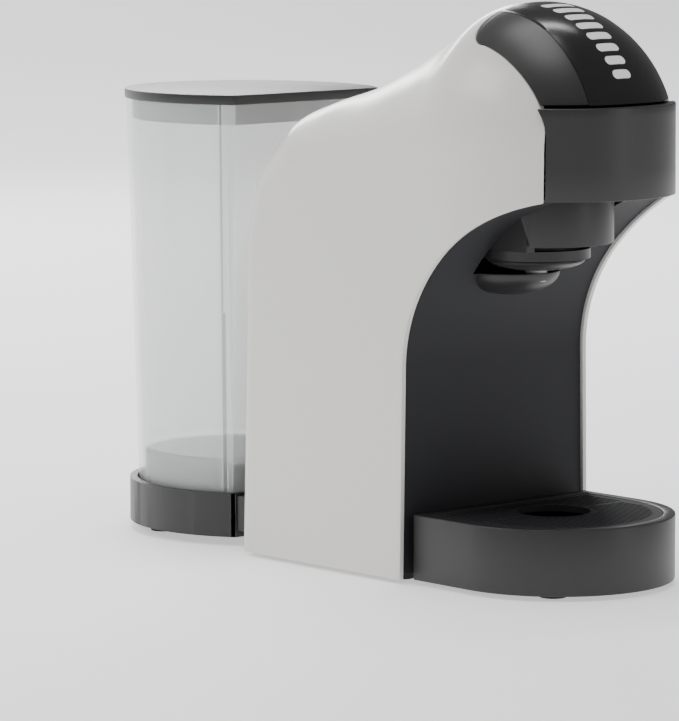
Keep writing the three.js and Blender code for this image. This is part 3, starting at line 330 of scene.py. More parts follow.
@dataclass(frozen=True)
class Finish:
    """One surface finish, with a fine texture and a slow variation in gloss and tone.

    Args:
        colour: Base colour, linear.
        roughness: Middle roughness.
        metallic: Share of metal.
        coat: Weight of a clear coat.
        coat_roughness: Roughness of that coat.
        specular: Specular level.
        grain_mm: Size of the fine texture's grains.
        grain_depth: Strength of its bump.
        sway: How far roughness swings from place to place.
        tone: How far the tone swings, as a share.
        transmission: Share of light let through.
        glow: Light given off.
        alpha: Share of the surface that isn't seen straight through.
        stretch: Scale of the texture along X, Y and Z, for brushed and drawn surfaces.
    """

    colour: tuple[float, float, float]
    roughness: float
    metallic: float = 0.0
    coat: float = 0.0
    coat_roughness: float = 0.1
    specular: float = 0.5
    grain_mm: float = 0.5
    grain_depth: float = 0.05
    sway: float = 0.04
    tone: float = 0.05
    transmission: float = 0.0
    glow: float = 0.0
    alpha: float = 1.0
    stretch: tuple[float, float, float] = (1.0, 1.0, 1.0)

    def material(self, name: str) -> bpy.types.Material:
        """Builds the finish's node material, once.

        Args:
            name: The material's name.

        Returns:
            The material.
        """
        known = bpy.data.materials.get(name)
        if known is not None:
            return known
        material = bpy.data.materials.new(name)
        material.use_nodes = True
        tree = material.node_tree
        shader = tree.nodes["Principled BSDF"]
        shader.inputs["Metallic"].default_value = self.metallic
        shader.inputs["Coat Weight"].default_value = self.coat
        shader.inputs["Coat Roughness"].default_value = self.coat_roughness
        shader.inputs["Specular IOR Level"].default_value = self.specular
        shader.inputs["Transmission Weight"].default_value = self.transmission
        shader.inputs["Alpha"].default_value = self.alpha
        if self.transmission:
            shader.inputs["IOR"].default_value = 1.46
        if self.glow:
            shader.inputs["Emission Color"].default_value = (*self.colour, 1.0)
            shader.inputs["Emission Strength"].default_value = self.glow
        where = tree.nodes.new("ShaderNodeTexCoord")
        mapping = tree.nodes.new("ShaderNodeMapping")
        mapping.inputs["Scale"].default_value = self.stretch
        tree.links.new(where.outputs["Object"], mapping.inputs["Vector"])
        grain = tree.nodes.new("ShaderNodeTexNoise")
        grain.inputs["Scale"].default_value = 1.0 / (self.grain_mm * MM)
        grain.inputs["Detail"].default_value = 3.0
        slow = tree.nodes.new("ShaderNodeTexNoise")
        slow.inputs["Scale"].default_value = 22.0
        slow.inputs["Detail"].default_value = 2.0
        tree.links.new(mapping.outputs["Vector"], grain.inputs["Vector"])
        tree.links.new(mapping.outputs["Vector"], slow.inputs["Vector"])
        bump = tree.nodes.new("ShaderNodeBump")
        bump.inputs["Strength"].default_value = self.grain_depth
        bump.inputs["Distance"].default_value = 0.0001
        tree.links.new(grain.outputs["Fac"], bump.inputs["Height"])
        tree.links.new(bump.outputs["Normal"], shader.inputs["Normal"])
        gloss = tree.nodes.new("ShaderNodeMapRange")
        gloss.inputs["To Min"].default_value = max(0.02, self.roughness - self.sway)
        gloss.inputs["To Max"].default_value = self.roughness + self.sway
        tree.links.new(slow.outputs["Fac"], gloss.inputs["Value"])
        tree.links.new(gloss.outputs["Result"], shader.inputs["Roughness"])
        tint = tree.nodes.new("ShaderNodeMix")
        tint.data_type = "RGBA"
        tint.inputs["A"].default_value = (*(c * (1 - self.tone) for c in self.colour), 1.0)
        tint.inputs["B"].default_value = (*(min(1.0, c * (1 + self.tone)) for c in self.colour), 1.0)
        tree.links.new(grain.outputs["Fac"], tint.inputs["Factor"])
        tree.links.new(tint.outputs["Result"], shader.inputs["Base Color"])
        return material


FINISHES: dict[Slot, Finish] = {
    Slot.PEARL: Finish((0.44, 0.418, 0.38), 0.32, metallic=0.5, coat=0.6, coat_roughness=0.12, grain_mm=0.25,
                       grain_depth=0.02, tone=0.06),
    Slot.SATIN_BLACK: Finish((0.004, 0.004, 0.0043), 0.3, specular=0.09, grain_mm=0.35, grain_depth=0.08,
                             tone=0.3),
    Slot.MATT_BLACK: Finish((0.004, 0.004, 0.0042), 0.52, specular=0.03, grain_mm=0.5, grain_depth=0.25,
                            tone=0.3),
    Slot.GLOSS_BLACK: Finish((0.003, 0.003, 0.0032), 0.14, specular=0.3, coat=0.05, grain_mm=0.4,
                             grain_depth=0.02, tone=0.2),
    Slot.CLEAR_TANK: Finish((0.93, 0.94, 0.945), 0.05, transmission=1.0, grain_mm=2.0, grain_depth=0.02,
                            sway=0.02, tone=0.01, alpha=0.42),
    Slot.LIGHT_WHITE: Finish((0.9, 0.9, 0.9), 0.3, grain_mm=0.5, grain_depth=0.02, tone=0.01, glow=0.55),
    Slot.STEEL: Finish((0.55, 0.56, 0.57), 0.28, metallic=1.0, grain_mm=0.2, grain_depth=0.1,
                       stretch=(1.0, 1.0, 0.1)),
    Slot.ALLOY: Finish((0.48, 0.49, 0.5), 0.48, 1.0, grain_mm=0.6, grain_depth=0.3, tone=0.1),
    Slot.RUBBER: Finish((0.014, 0.014, 0.014), 0.78, grain_mm=0.4, grain_depth=0.3, tone=0.2),
    Slot.SILICONE: Finish((0.035, 0.035, 0.035), 0.5, grain_mm=0.6, grain_depth=0.1),
    Slot.CIRCUIT_BOARD: Finish((0.03, 0.16, 0.07), 0.4, grain_mm=0.8, grain_depth=0.2, tone=0.3),
    Slot.PALE_PLASTIC: Finish((0.66, 0.65, 0.61), 0.42, grain_mm=0.5, grain_depth=0.1),
}


def dress(obj: bpy.types.Object, slot: Slot) -> bpy.types.Object:
    """Gives an object one finish all over."""
    obj.data.materials.clear()
    obj.data.materials.append(FINISHES[slot].material(slot.value))
    return obj


def hand_over(obj: bpy.types.Object, body: str, slot: Slot, *nodes: str) -> bpy.types.Object:
    """Dresses a finished piece, hangs it on its body and lets it stand for CAD nodes.

    Args:
        obj: The finished piece.
        body: The body it moves with.
        slot: Its finish.
        nodes: The CAD nodes it stands for.

    Returns:
        The same object.
    """
    dress(obj, slot)
    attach(obj, body)
    if nodes:
        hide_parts(*nodes)
    LOG.info("%s: %d faces, on %s", obj.name, len(obj.data.polygons), body)
    return obj


# ------------------------------------------------------------------------------------ outer form
@dataclass
class BodyForm:
    """The form of the body and head: a side view and a half width for each of its points."""

    half: float = 60.0
    flare: float = 0.014
    head_y: float = -20.0
    head_reach: float = 71.2
    plan_power: float = 2.2
    crown: tuple[float, float] = (-27.0, 262.5)
    dome_reach: float = 61.8
    dome_z: float = 198.0
    dome_power: float = 1.97
    across_power: float = 2.3
    spine_points: tuple[tuple[float, float], ...] = (
        (112.7, 0.0), (111.44, 104.0), (110.9, 160.0), (108.7, 180.5), (92.7, 205.5), (75.0, 214.0),
        (48.5, 222.6), (22.0, 236.2), (-1.0, 250.7), (-10.0, 256.8), (-18.0, 261.2), (-27.0, 262.5))
    rounds: tuple[tuple[float, float], ...] = (
        (0.0, 8.0), (150.0, 8.5), (160.0, 10.5), (178.0, 16.0), (197.0, 24.0), (206.0, 28.0), (217.0, 35.0),
        (236.0, 45.5), (250.0, 51.0), (262.0, 55.0))
    spine: np.ndarray = field(init=False)

    def __post_init__(self) -> None:
        """Draws the spine as a dense line."""
        self.spine = self._spline(self.spine_points, 26)

    @staticmethod
    def _spline(points: Sequence[tuple[float, float]], steps: int) -> np.ndarray:
        """Centripetal curve through points of the side view."""
        p = np.array(points, float)
        p = np.vstack([2 * p[0] - p[1], p, 2 * p[-1] - p[-2]])
        out = []
        for i in range(1, len(p) - 2):
            d0, d1, d2 = (math.sqrt(np.linalg.norm(p[i + k] - p[i + k - 1])) for k in (0, 1, 2))
            t1 = ((p[i] - p[i - 1]) / d0 - (p[i + 1] - p[i - 1]) / (d0 + d1) + (p[i + 1] - p[i]) / d1) * d1
            t2 = ((p[i + 1] - p[i]) / d1 - (p[i + 2] - p[i]) / (d1 + d2) + (p[i + 2] - p[i + 1]) / d2) * d1
            t = np.linspace(0, 1, steps, endpoint=False)[:, None]
            c2 = -3 * p[i] + 3 * p[i + 1] - 2 * t1 - t2
            c3 = 2 * p[i] - 2 * p[i + 1] + t1 + t2
            out.append(p[i] + t1 * t + c2 * t ** 2 + c3 * t ** 3)
        return np.vstack(out + [p[-2:-1]])

    def wall(self, z: np.ndarray) -> np.ndarray:
        """Half width of the side walls at a height."""
        return self.half - self.flare * z

    def top(self, y: np.ndarray) -> np.ndarray:
        """Height of the spine, or of the dome in front of the crown."""
        line = self.spine[::-1]
        back = np.interp(y, line[:, 0], line[:, 1])
        share = np.maximum(0.0, (self.crown[0] - y) / self.dome_reach)
        dome = self.dome_z + (self.crown[1] - self.dome_z) * power(share, self.dome_power)
        return np.where(y < self.crown[0], dome, back)

    def narrowing(self, y: np.ndarray) -> np.ndarray:
        """Share of the full width left in plan towards the front of the head."""
        return np.where(y < self.head_y, power((self.head_y - y) / self.head_reach, self.plan_power), 1.0)

    def nearest(self, y: np.ndarray, z: np.ndarray) -> tuple[np.ndarray, np.ndarray]:
        """Distance to the spine, and the height of the nearest point on it."""
        a, b = self.spine[:-1], self.spine[1:]
        span = b - a
        length2 = (span ** 2).sum(1)
        best = np.full(y.shape, 1e9)
        height = np.zeros(y.shape)
        for (ay, az), (sy, sz), l2 in zip(a, span, length2):
            t = np.clip(((y - ay) * sy + (z - az) * sz) / l2, 0, 1)
            distance = np.hypot(y - ay - t * sy, z - az - t * sz)
            closer = distance < best
            best = np.where(closer, distance, best)
            height = np.where(closer, az + t * sz, height)
        return best, height

    def half_width(self, y: np.ndarray, z: np.ndarray) -> np.ndarray:
        """Half width of the form at points of the side view."""
        y, z = np.asarray(y, float), np.asarray(z, float)
        top = self.top(y)
        wall = self.wall(z)
        rise = np.clip((z - self.dome_z) / np.maximum(top - self.dome_z, 1e-6), 0, 1)
        head = wall * self.narrowing(y) * np.where(z > self.dome_z, power(rise, self.across_power), 1.0)
        distance, height = self.nearest(y, z)
        table = np.array(self.rounds)
        radius = np.minimum(np.interp(height, table[:, 0], table[:, 1]), wall)
        depth = np.minimum(distance, radius)
        body = wall - radius + np.sqrt(np.maximum(0.0, radius ** 2 - (radius - depth) ** 2))
        blend = smoothstep(y, self.head_y, self.head_y + 20.0)
        return head * (1 - blend) + body * blend

    def crest(self, x: np.ndarray, y: np.ndarray) -> np.ndarray:
        """Height of the dome over a point in plan."""
        top = self.top(y)
        z = top.copy()
        for _ in range(4):
            share = np.abs(x) / np.maximum(self.wall(z) * self.narrowing(y), 1e-3)
            z = self.dome_z + (top - self.dome_z) * power(share, self.across_power)
        return z


def resample(line: np.ndarray, shares: np.ndarray) -> np.ndarray:
    """Points of a line at shares of its length."""
    steps = np.r_[0, np.cumsum(np.linalg.norm(np.diff(line, axis=0), axis=1))]
    return np.column_stack([np.interp(shares * steps[-1], steps, line[:, k]) for k in range(line.shape[1])])


def patch(low: np.ndarray, high: np.ndarray, start: np.ndarray, end: np.ndarray,
          u: np.ndarray, v: np.ndarray) -> np.ndarray:
    """Smooth fill between four lines of the side view that meet at their ends.

    Args:
        low: The line at v = 0, as u grows.
        high: The line at v = 1, as u grows.
        start: The line at u = 0, as v grows.
        end: The line at u = 1, as v grows.
        u: First share of each wanted point.
        v: Second share.

    Returns:
        The points, one row each.
    """
    a, b, c, d = resample(low, u), resample(high, u), resample(start, v), resample(end, v)
    u, v = u[:, None], v[:, None]
    corners = ((1 - u) * (1 - v) * low[0] + u * (1 - v) * low[-1]
               + (1 - u) * v * high[0] + u * v * high[-1])
    return (1 - v) * a + v * b + (1 - u) * c + u * d - corners


@dataclass
class SideLines:
    """Lines of the side view that the shell, the head and the lever share."""

    form: BodyForm
    spring_z: float = 99.0
    reach: float = 104.0
    rise: float = 81.5
    seam_y: float = -72.3
    seam_top: float = 205.0
    pivot: tuple[float, float] = (-33.8, 254.0)
    socket: float = 9.6

    def arch(self, setback: float, low: float, end_y: float) -> np.ndarray:
        """Recess line from its foot up and forwards to a given y."""
        reach, rise = self.reach + setback, self.rise + setback
        last = math.acos((end_y + self.reach) / reach)
        angle = np.linspace(0, last, 90)
        curve = np.column_stack([-self.reach + reach * np.cos(angle), self.spring_z + rise * np.sin(angle)])
        return np.vstack([[[setback, low]], curve])

    def seam(self, gap: float) -> np.ndarray:
        """Seam from the top of its upright part back to the foot of the lever's ear."""
        p = np.array([
            (self.seam_y - gap, self.seam_top),
            (self.seam_y - gap, self.seam_top + 17),
            (self.seam_y + 18.3 - 0.7 * gap, self.seam_top + 35 + 0.7 * gap),
            (self.pivot[0], self.pivot[1] - self.socket + gap)])
        t = np.linspace(0, 1, 60)[:, None]
        left = 1 - t
        return left ** 3 * p[0] + 3 * t * left ** 2 * p[1] + 3 * t ** 2 * left * p[2] + t ** 3 * p[3]

    def ear(self, radius: float, x: float) -> np.ndarray:
        """Round end of the ear, from where it meets the dome's surface at x down to its foot."""
        angle = np.linspace(math.pi / 2, 0, 400)
        y = self.pivot[0] + radius * np.cos(angle)
        z = self.pivot[1] + radius * np.sin(angle)
        under = z <= self.form.crest(np.full(y.shape, x), y)
        first = angle[int(np.argmax(under))]
        angle = np.linspace(first, -math.pi / 2, 60)
        return np.column_stack([np.cos(angle), np.sin(angle)]) * radius + self.pivot


# ------------------------------------------------------------------------------------ shell
@dataclass
class Shell:
    """Pearl saddle: both side panels, the back and the neck, as one skin."""

    form: BodyForm
    lines: SideLines
    wall: float = 2.2
    floor: float = 2.0
    rear_cover: tuple[float, float, float] = (42.0, 34.0, 150.0)
    neck: tuple[float, float] = (44.3, 24.3)
    switch: tuple[float, float, float, float] = (76.0, 33.0, 11.3, 7.3)
    gland: tuple[float, float, float] = (97.0, 14.5, 5.3)

    def skin(self) -> bpy.types.Object:
        """Builds the skin with its openings.

        Returns:
            The finished shell.
        """
        form, lines = self.form, self.lines
        spine = form.spine[form.spine[:, 1] >= self.floor]
        foot = np.interp(self.floor, form.spine[:, 1], form.spine[:, 0])
        spine = np.vstack([[[foot, self.floor]], spine])
        dome_y = np.linspace(form.crown[0], lines.seam_y, 40)[1:]
        spine = np.vstack([spine, np.column_stack([dome_y, form.top(dome_y)])])
        front = np.vstack([lines.arch(0.0, self.floor, lines.seam_y), spine[-1:]])
        bottom = np.array([spine[0], front[0]])
        crown = np.array([spine[-1], spine[-1]])
        flat = 0.1

        def where(u: np.ndarray, w: np.ndarray) -> np.ndarray:
            """Places points on the form from their two shares."""
            side = np.sign(w - 0.5)
            away = np.abs(w - 0.5) * 2
            t = np.clip((away - flat) / (1 - flat), 0, 1)
            v = t * t * (1.9 - 0.9 * t)
            yz = patch(spine, front, bottom, crown, u, v)
            x = form.half_width(yz[:, 0], yz[:, 1])
            x = np.where(away < flat, x * away / flat, x)
            return np.column_stack([side * x, yz])

        skin = Bench.drape("shell_skin", 170, 120, where, (0, 0.6, 0.8))
        Bench.merge(skin)
        Bench.modify(skin, "SOLIDIFY", thickness=self.wall * MM, offset=-1.0)
        Bench.combine(skin, self.openings(), "DIFFERENCE")
        Bench.soften(skin, 0.35, 60.0, 2)
        return Bench.smooth(skin, 40.0)

    def openings(self) -> list[bpy.types.Object]:
        """Tool solids for the rear cover, the dock's neck, the switch and the gland."""
        half, low, high = self.rear_cover
        y, z, long, tall = self.switch
        gy, gz, radius = self.gland
        Bench.clear()
        bpy.ops.mesh.primitive_cylinder_add(vertices=32, radius=radius * MM, depth=20 * MM,
                                            location=place(60, gy, gz), rotation=(0, math.pi / 2, 0))
        gland = Bench.settle(bpy.context.object)
        seam = self.lines.seam(0.0)
        pivot_y, pivot_z = self.lines.pivot
        above, ahead, aside = 300.0, -90.0, 70.0
        turn = np.linspace(-math.pi / 2, math.pi / 2, 60)[1:]
        ear = np.column_stack([np.cos(turn), np.sin(turn)]) * self.lines.socket + (pivot_y, pivot_z)
        outline = np.vstack([seam, ear, [(pivot_y, above), (ahead, above), (ahead, self.lines.seam_top)]])
        Bench.clear()
        bpy.ops.mesh.primitive_circle_add(vertices=len(outline), radius=MM, fill_type="NGON")
        black = bpy.context.object
        for vertex, (spot_y, spot_z) in zip(black.data.vertices, outline):
            vertex.co = place(-aside, spot_y, spot_z)
        Bench.whole(black)
        Bench.push(dx=2 * aside)
        bpy.ops.mesh.select_all(action="SELECT")
        bpy.ops.mesh.normals_make_consistent(inside=False)
        Bench.leave()
        return [
            black,
            Bench.cube("cover_tool", (-half, 100, low), (half, 130, high)),
            Bench.cube("neck_tool", (-self.neck[0], 100, -5), (self.neck[0], 130, self.neck[1])),
            Bench.cube("switch_tool", (50, y - long, z - tall), (70, y + long, z + tall)),
            gland,
        ]

    def build(self) -> None:
        """Builds the shell and hands it over."""
        hand_over(self.skin(), "machine_body", Slot.PEARL, "outer_shell")


@dataclass
class Recess:
    """Black lining behind and over the cup."""

    form: BodyForm
    lines: SideLines
    setback: float = 1.5
    wall: float = 2.4
    side_gap: float = 2.5
    brew_low: Point = (-26.3, -64.5, 139.8)
    brew_high: Point = (26.3, 2.0, 200.0)

    def build(self) -> None:
        """Builds the lining and hands it over."""
        line = self.lines.arch(self.setback, 5.0, -87.5)

        def where(u: np.ndarray, w: np.ndarray) -> np.ndarray:
            """Places points on the form from their two shares."""
            yz = resample(line, u)
            half = np.maximum(self.form.half_width(yz[:, 0], yz[:, 1]) - self.side_gap, 3.0)
            return np.column_stack([(w - 0.5) * 2 * half, yz])

        lining = Bench.drape("recess_lining", 150, 24, where, (0, -1, -0.6))
        Bench.modify(lining, "SOLIDIFY", thickness=self.wall * MM, offset=-1.0)
        Bench.combine(lining, [Bench.cube("brew_tool", self.brew_low, self.brew_high)], "DIFFERENCE")
        Bench.smooth(lining, 35.0)
        hand_over(lining, "machine_body", Slot.MATT_BLACK, "front_panel")


# ------------------------------------------------------------------------------------ head
@dataclass
class Head:
    """Black band round the front of the head."""

    form: BodyForm
    lines: SideLines
    low: float = 177.0
    high: float = 218.0
    wall: float = 2.4
    ledge: float = 9.2
    ledge_thick: float = 2.0
    gap: float = 0.5

    def seam_y(self, z: float) -> float:
        """Where the band ends beside the shell at a height."""
        seam = self.lines.seam(self.gap)
        if z <= self.lines.seam_top:
            return self.lines.seam_y - self.gap
        return float(np.interp(z, seam[:, 1], seam[:, 0]))

    def build(self) -> None:
        """Builds the band and its ledge and hands it over."""
        loop = [(0.0, self.low), (0.0, 190.0), (0.0, self.lines.seam_top), (0.0, 210.0), (0.0, 214.0),
                (0.0, self.high), (self.ledge, self.high),
                (self.ledge, self.high - self.ledge_thick), (self.wall, self.high - self.ledge_thick),
                (self.wall, 210.0), (self.wall, self.lines.seam_top), (self.wall, 190.0),
                (self.wall, self.low)]
        ring = np.array(loop + loop[:1])

        def where(u: np.ndarray, v: np.ndarray) -> np.ndarray:
            """Places points on the form from their two shares."""
            inset, z = ring[np.rint(u * len(loop)).astype(int)].T
            reach = self.form.head_reach - inset
            ends = np.array([self.seam_y(height) for height in z])
            share = np.clip((self.form.head_y - ends) / reach, 0, 1)
            first = np.arcsin(share ** (self.form.plan_power / 2))
            angle = first + (math.pi - 2 * first) * v
            spread = np.abs(np.cos(angle)) ** (2 / self.form.plan_power) * np.sign(np.cos(angle))
            x = (self.form.wall(z) - inset) * spread
            y = self.form.head_y - reach * np.sin(angle) ** (2 / self.form.plan_power)
            return np.column_stack([x, y, z])

        band = Bench.drape("head_band", len(loop), 120, where, (0, -1, 0))
        Bench.merge(band)
        Bench.pick(band)
        bpy.ops.object.mode_set(mode="EDIT")
        bpy.ops.mesh.select_mode(type="EDGE")
        bpy.ops.mesh.select_all(action="DESELECT")
        bpy.ops.mesh.select_non_manifold()
        bpy.ops.mesh.fill()
        Bench.leave()
        Bench.outwards(band)
        Bench.soften(band, 0.45, 50.0, 3)
        Bench.smooth(band, 30.0)
        hand_over(band, "machine_body", Slot.SATIN_BLACK, "head_fascia")


@dataclass
class Lever:
    """Hood that turns up about its rear ears: two arms, a centre strip and eight light bars."""

    form: BodyForm
    lines: SideLines
    strip_half: float = 23.1
    strip_low: float = 219.2
    strip_skin: float = 2.0
    arm_low: float = 219.6
    arm_skin: float = 3.0
    arm_sink: float = 0.3
    gap: float = 0.5
    strip_gap: float = 0.45
    nose: float = 88.75
    bars: int = 8
    bar_height: float = 4.4
    bar_first: float = 11.8
    bar_pitch: float = 7.3
    bar_width: float = 19.6
    bar_narrowing: float = 1.25
    bar_solid: tuple[float, float, float] = (0.0, 1.6, -0.15)
    slot_solid: tuple[float, float, float] = (0.35, 8.0, 4.0)

    def crown_line(self) -> np.ndarray:
        """Middle line of the dome in side view, from the crown forwards."""
        share = np.sin(np.linspace(0, math.pi / 2 * 0.98, 200))
        y = self.form.crown[0] - share * self.form.dome_reach
        return np.column_stack([y, self.form.top(y)])

    def front_line(self, x: float, low: float, radius: float) -> np.ndarray:
        """Line over the dome at one x, from the ear's round end forwards and down to a height."""
        start = self.lines.ear(radius, x)[0, 0]
        y = start - (start + self.nose) * np.sin(np.linspace(0, math.pi / 2, 500))
        z = self.form.crest(np.full(y.shape, x), y)
        keep = z > low
        y, z = y[keep], z[keep]
        slope = (z[-1] - z[-2]) / (y[-1] - y[-2])
        return np.vstack([np.column_stack([y, z]), [[y[-1] + (low - z[-1]) / slope, low]]])

    def arm(self, side: int) -> bpy.types.Object:
        """Builds one arm."""
        radius = self.lines.socket - self.gap
        inner = self.front_line(self.strip_half + self.strip_gap, self.arm_low, radius)
        ear = self.lines.ear(radius, self.strip_half + self.strip_gap)
        seam = self.lines.seam(self.gap)[::-1]
        seam = seam[seam[:, 1] > self.arm_low]
        outer = np.vstack([seam, [[np.interp(self.arm_low, seam[::-1, 1], seam[::-1, 0]), self.arm_low]]])
        inner[0] = ear[0]
        outer = np.vstack([ear, outer[1:]])
        crown = np.array([ear[0], ear[0]])
        foot = np.array([inner[-1], outer[-1]])

        def where(u: np.ndarray, v: np.ndarray) -> np.ndarray:
            """Places points on the form from their two shares."""
            yz = patch(inner, outer, crown, foot, u, v)
            x = self.form.half_width(yz[:, 0], yz[:, 1])
            return np.column_stack([side * (x - self.arm_sink), yz])

        arm = Bench.drape(f"lever_arm_{'right' if side > 0 else 'left'}", 90, 50, where, (side, -0.5, 0.5))
        Bench.merge(arm)
        Bench.modify(arm, "SOLIDIFY", thickness=self.arm_skin * MM, offset=-1.0)
        Bench.soften(arm, 0.5, 50.0, 3)
        return Bench.smooth(arm, 35.0)

    def strip(self) -> bpy.types.Object:
        """Builds the centre strip with its slots."""
        across, along = 32, 90
        columns = np.linspace(-1, 1, across + 1)
        ear = self.lines.socket - self.gap
        shares = np.linspace(0, 1, along + 1)
        table = np.array([resample(self.front_line(c * self.strip_half, self.strip_low, ear), shares)
                          for c in columns])

        def where(u: np.ndarray, v: np.ndarray) -> np.ndarray:
            """Places points on the form from their two shares."""
            i = np.rint(u * across).astype(int)
            j = np.rint(v * along).astype(int)
            return np.column_stack([columns[i] * self.strip_half, table[i, j]])

        strip = Bench.drape("control_strip_skin", across, along, where, (0, -0.5, 0.8))
        Bench.modify(strip, "SOLIDIFY", thickness=self.strip_skin * MM, offset=-1.0)
        Bench.combine(strip, [self.bar(n, *self.slot_solid) for n in range(self.bars)], "DIFFERENCE")
        Bench.soften(strip, 0.35, 50.0, 2)
        return Bench.smooth(strip, 35.0)

    def bar(self, number: int, grow: float, thick: float, lift: float) -> bpy.types.Object:
        """Builds one bar with rounded ends, or the tool for its slot.

        Args:
            number: 0 for the uppermost bar.
            grow: How far the outline stands out all round.
            thick: Thickness of the solid.
            lift: Height of its outer face over the dome's surface.

        Returns:
            The bar, lying on the dome.
        """
        line = self.crown_line()
        length = np.linalg.norm(np.diff(line, axis=0), axis=1).sum()
        share = (self.bar_first + self.bar_pitch * number) / length
        here, ahead = resample(line, np.array([share, share + 0.002]))
        reach = self.bar_width / 2 - self.bar_narrowing / 2 * number - self.bar_height / 2
        run = (ahead - here) / np.linalg.norm(ahead - here)
        up = np.array([run[1], -run[0]]) * (1 if run[0] < 0 else -1)
        half = self.bar_height / 2 + grow

        def where(u: np.ndarray, v: np.ndarray) -> np.ndarray:
            """Places points on the form from their two shares."""
            x = (reach + half) * np.sin((u - 0.5) * math.pi)
            over = np.maximum(0.0, np.abs(x) - reach)
            tall = np.sqrt(np.maximum(0.02, half ** 2 - over ** 2))
            away = (v - 0.5) * 2 * tall
            y = here[0] + run[0] * away
            z = here[1] + run[1] * away
            sag = self.form.crest(x, y) - self.form.crest(np.zeros(y.shape), y)
            return np.column_stack([x, y + up[0] * lift, z + sag + up[1] * lift])

        bar = Bench.drape(f"light_window_{number + 1}", 40, 8, where, (0, up[0], up[1]))
        return Bench.modify(bar, "SOLIDIFY", thickness=thick * MM, offset=-1.0)

    def build(self) -> None:
        """Builds the arms, the strip and the bars and hands them over."""
        left, right = self.arm(-1), self.arm(1)
        hand_over(left, "lever", Slot.SATIN_BLACK)
        hand_over(right, "lever", Slot.SATIN_BLACK, "lever_hood")
        hand_over(self.strip(), "lever", Slot.GLOSS_BLACK, "control_strip")
        for number in range(self.bars):
            bar = self.bar(number, *self.bar_solid)
            Bench.soften(bar, 0.35, 50.0, 3)
            Bench.smooth(bar, 40.0)
            hand_over(bar, "lever", Slot.LIGHT_WHITE, f"light_bar_{number + 1}")


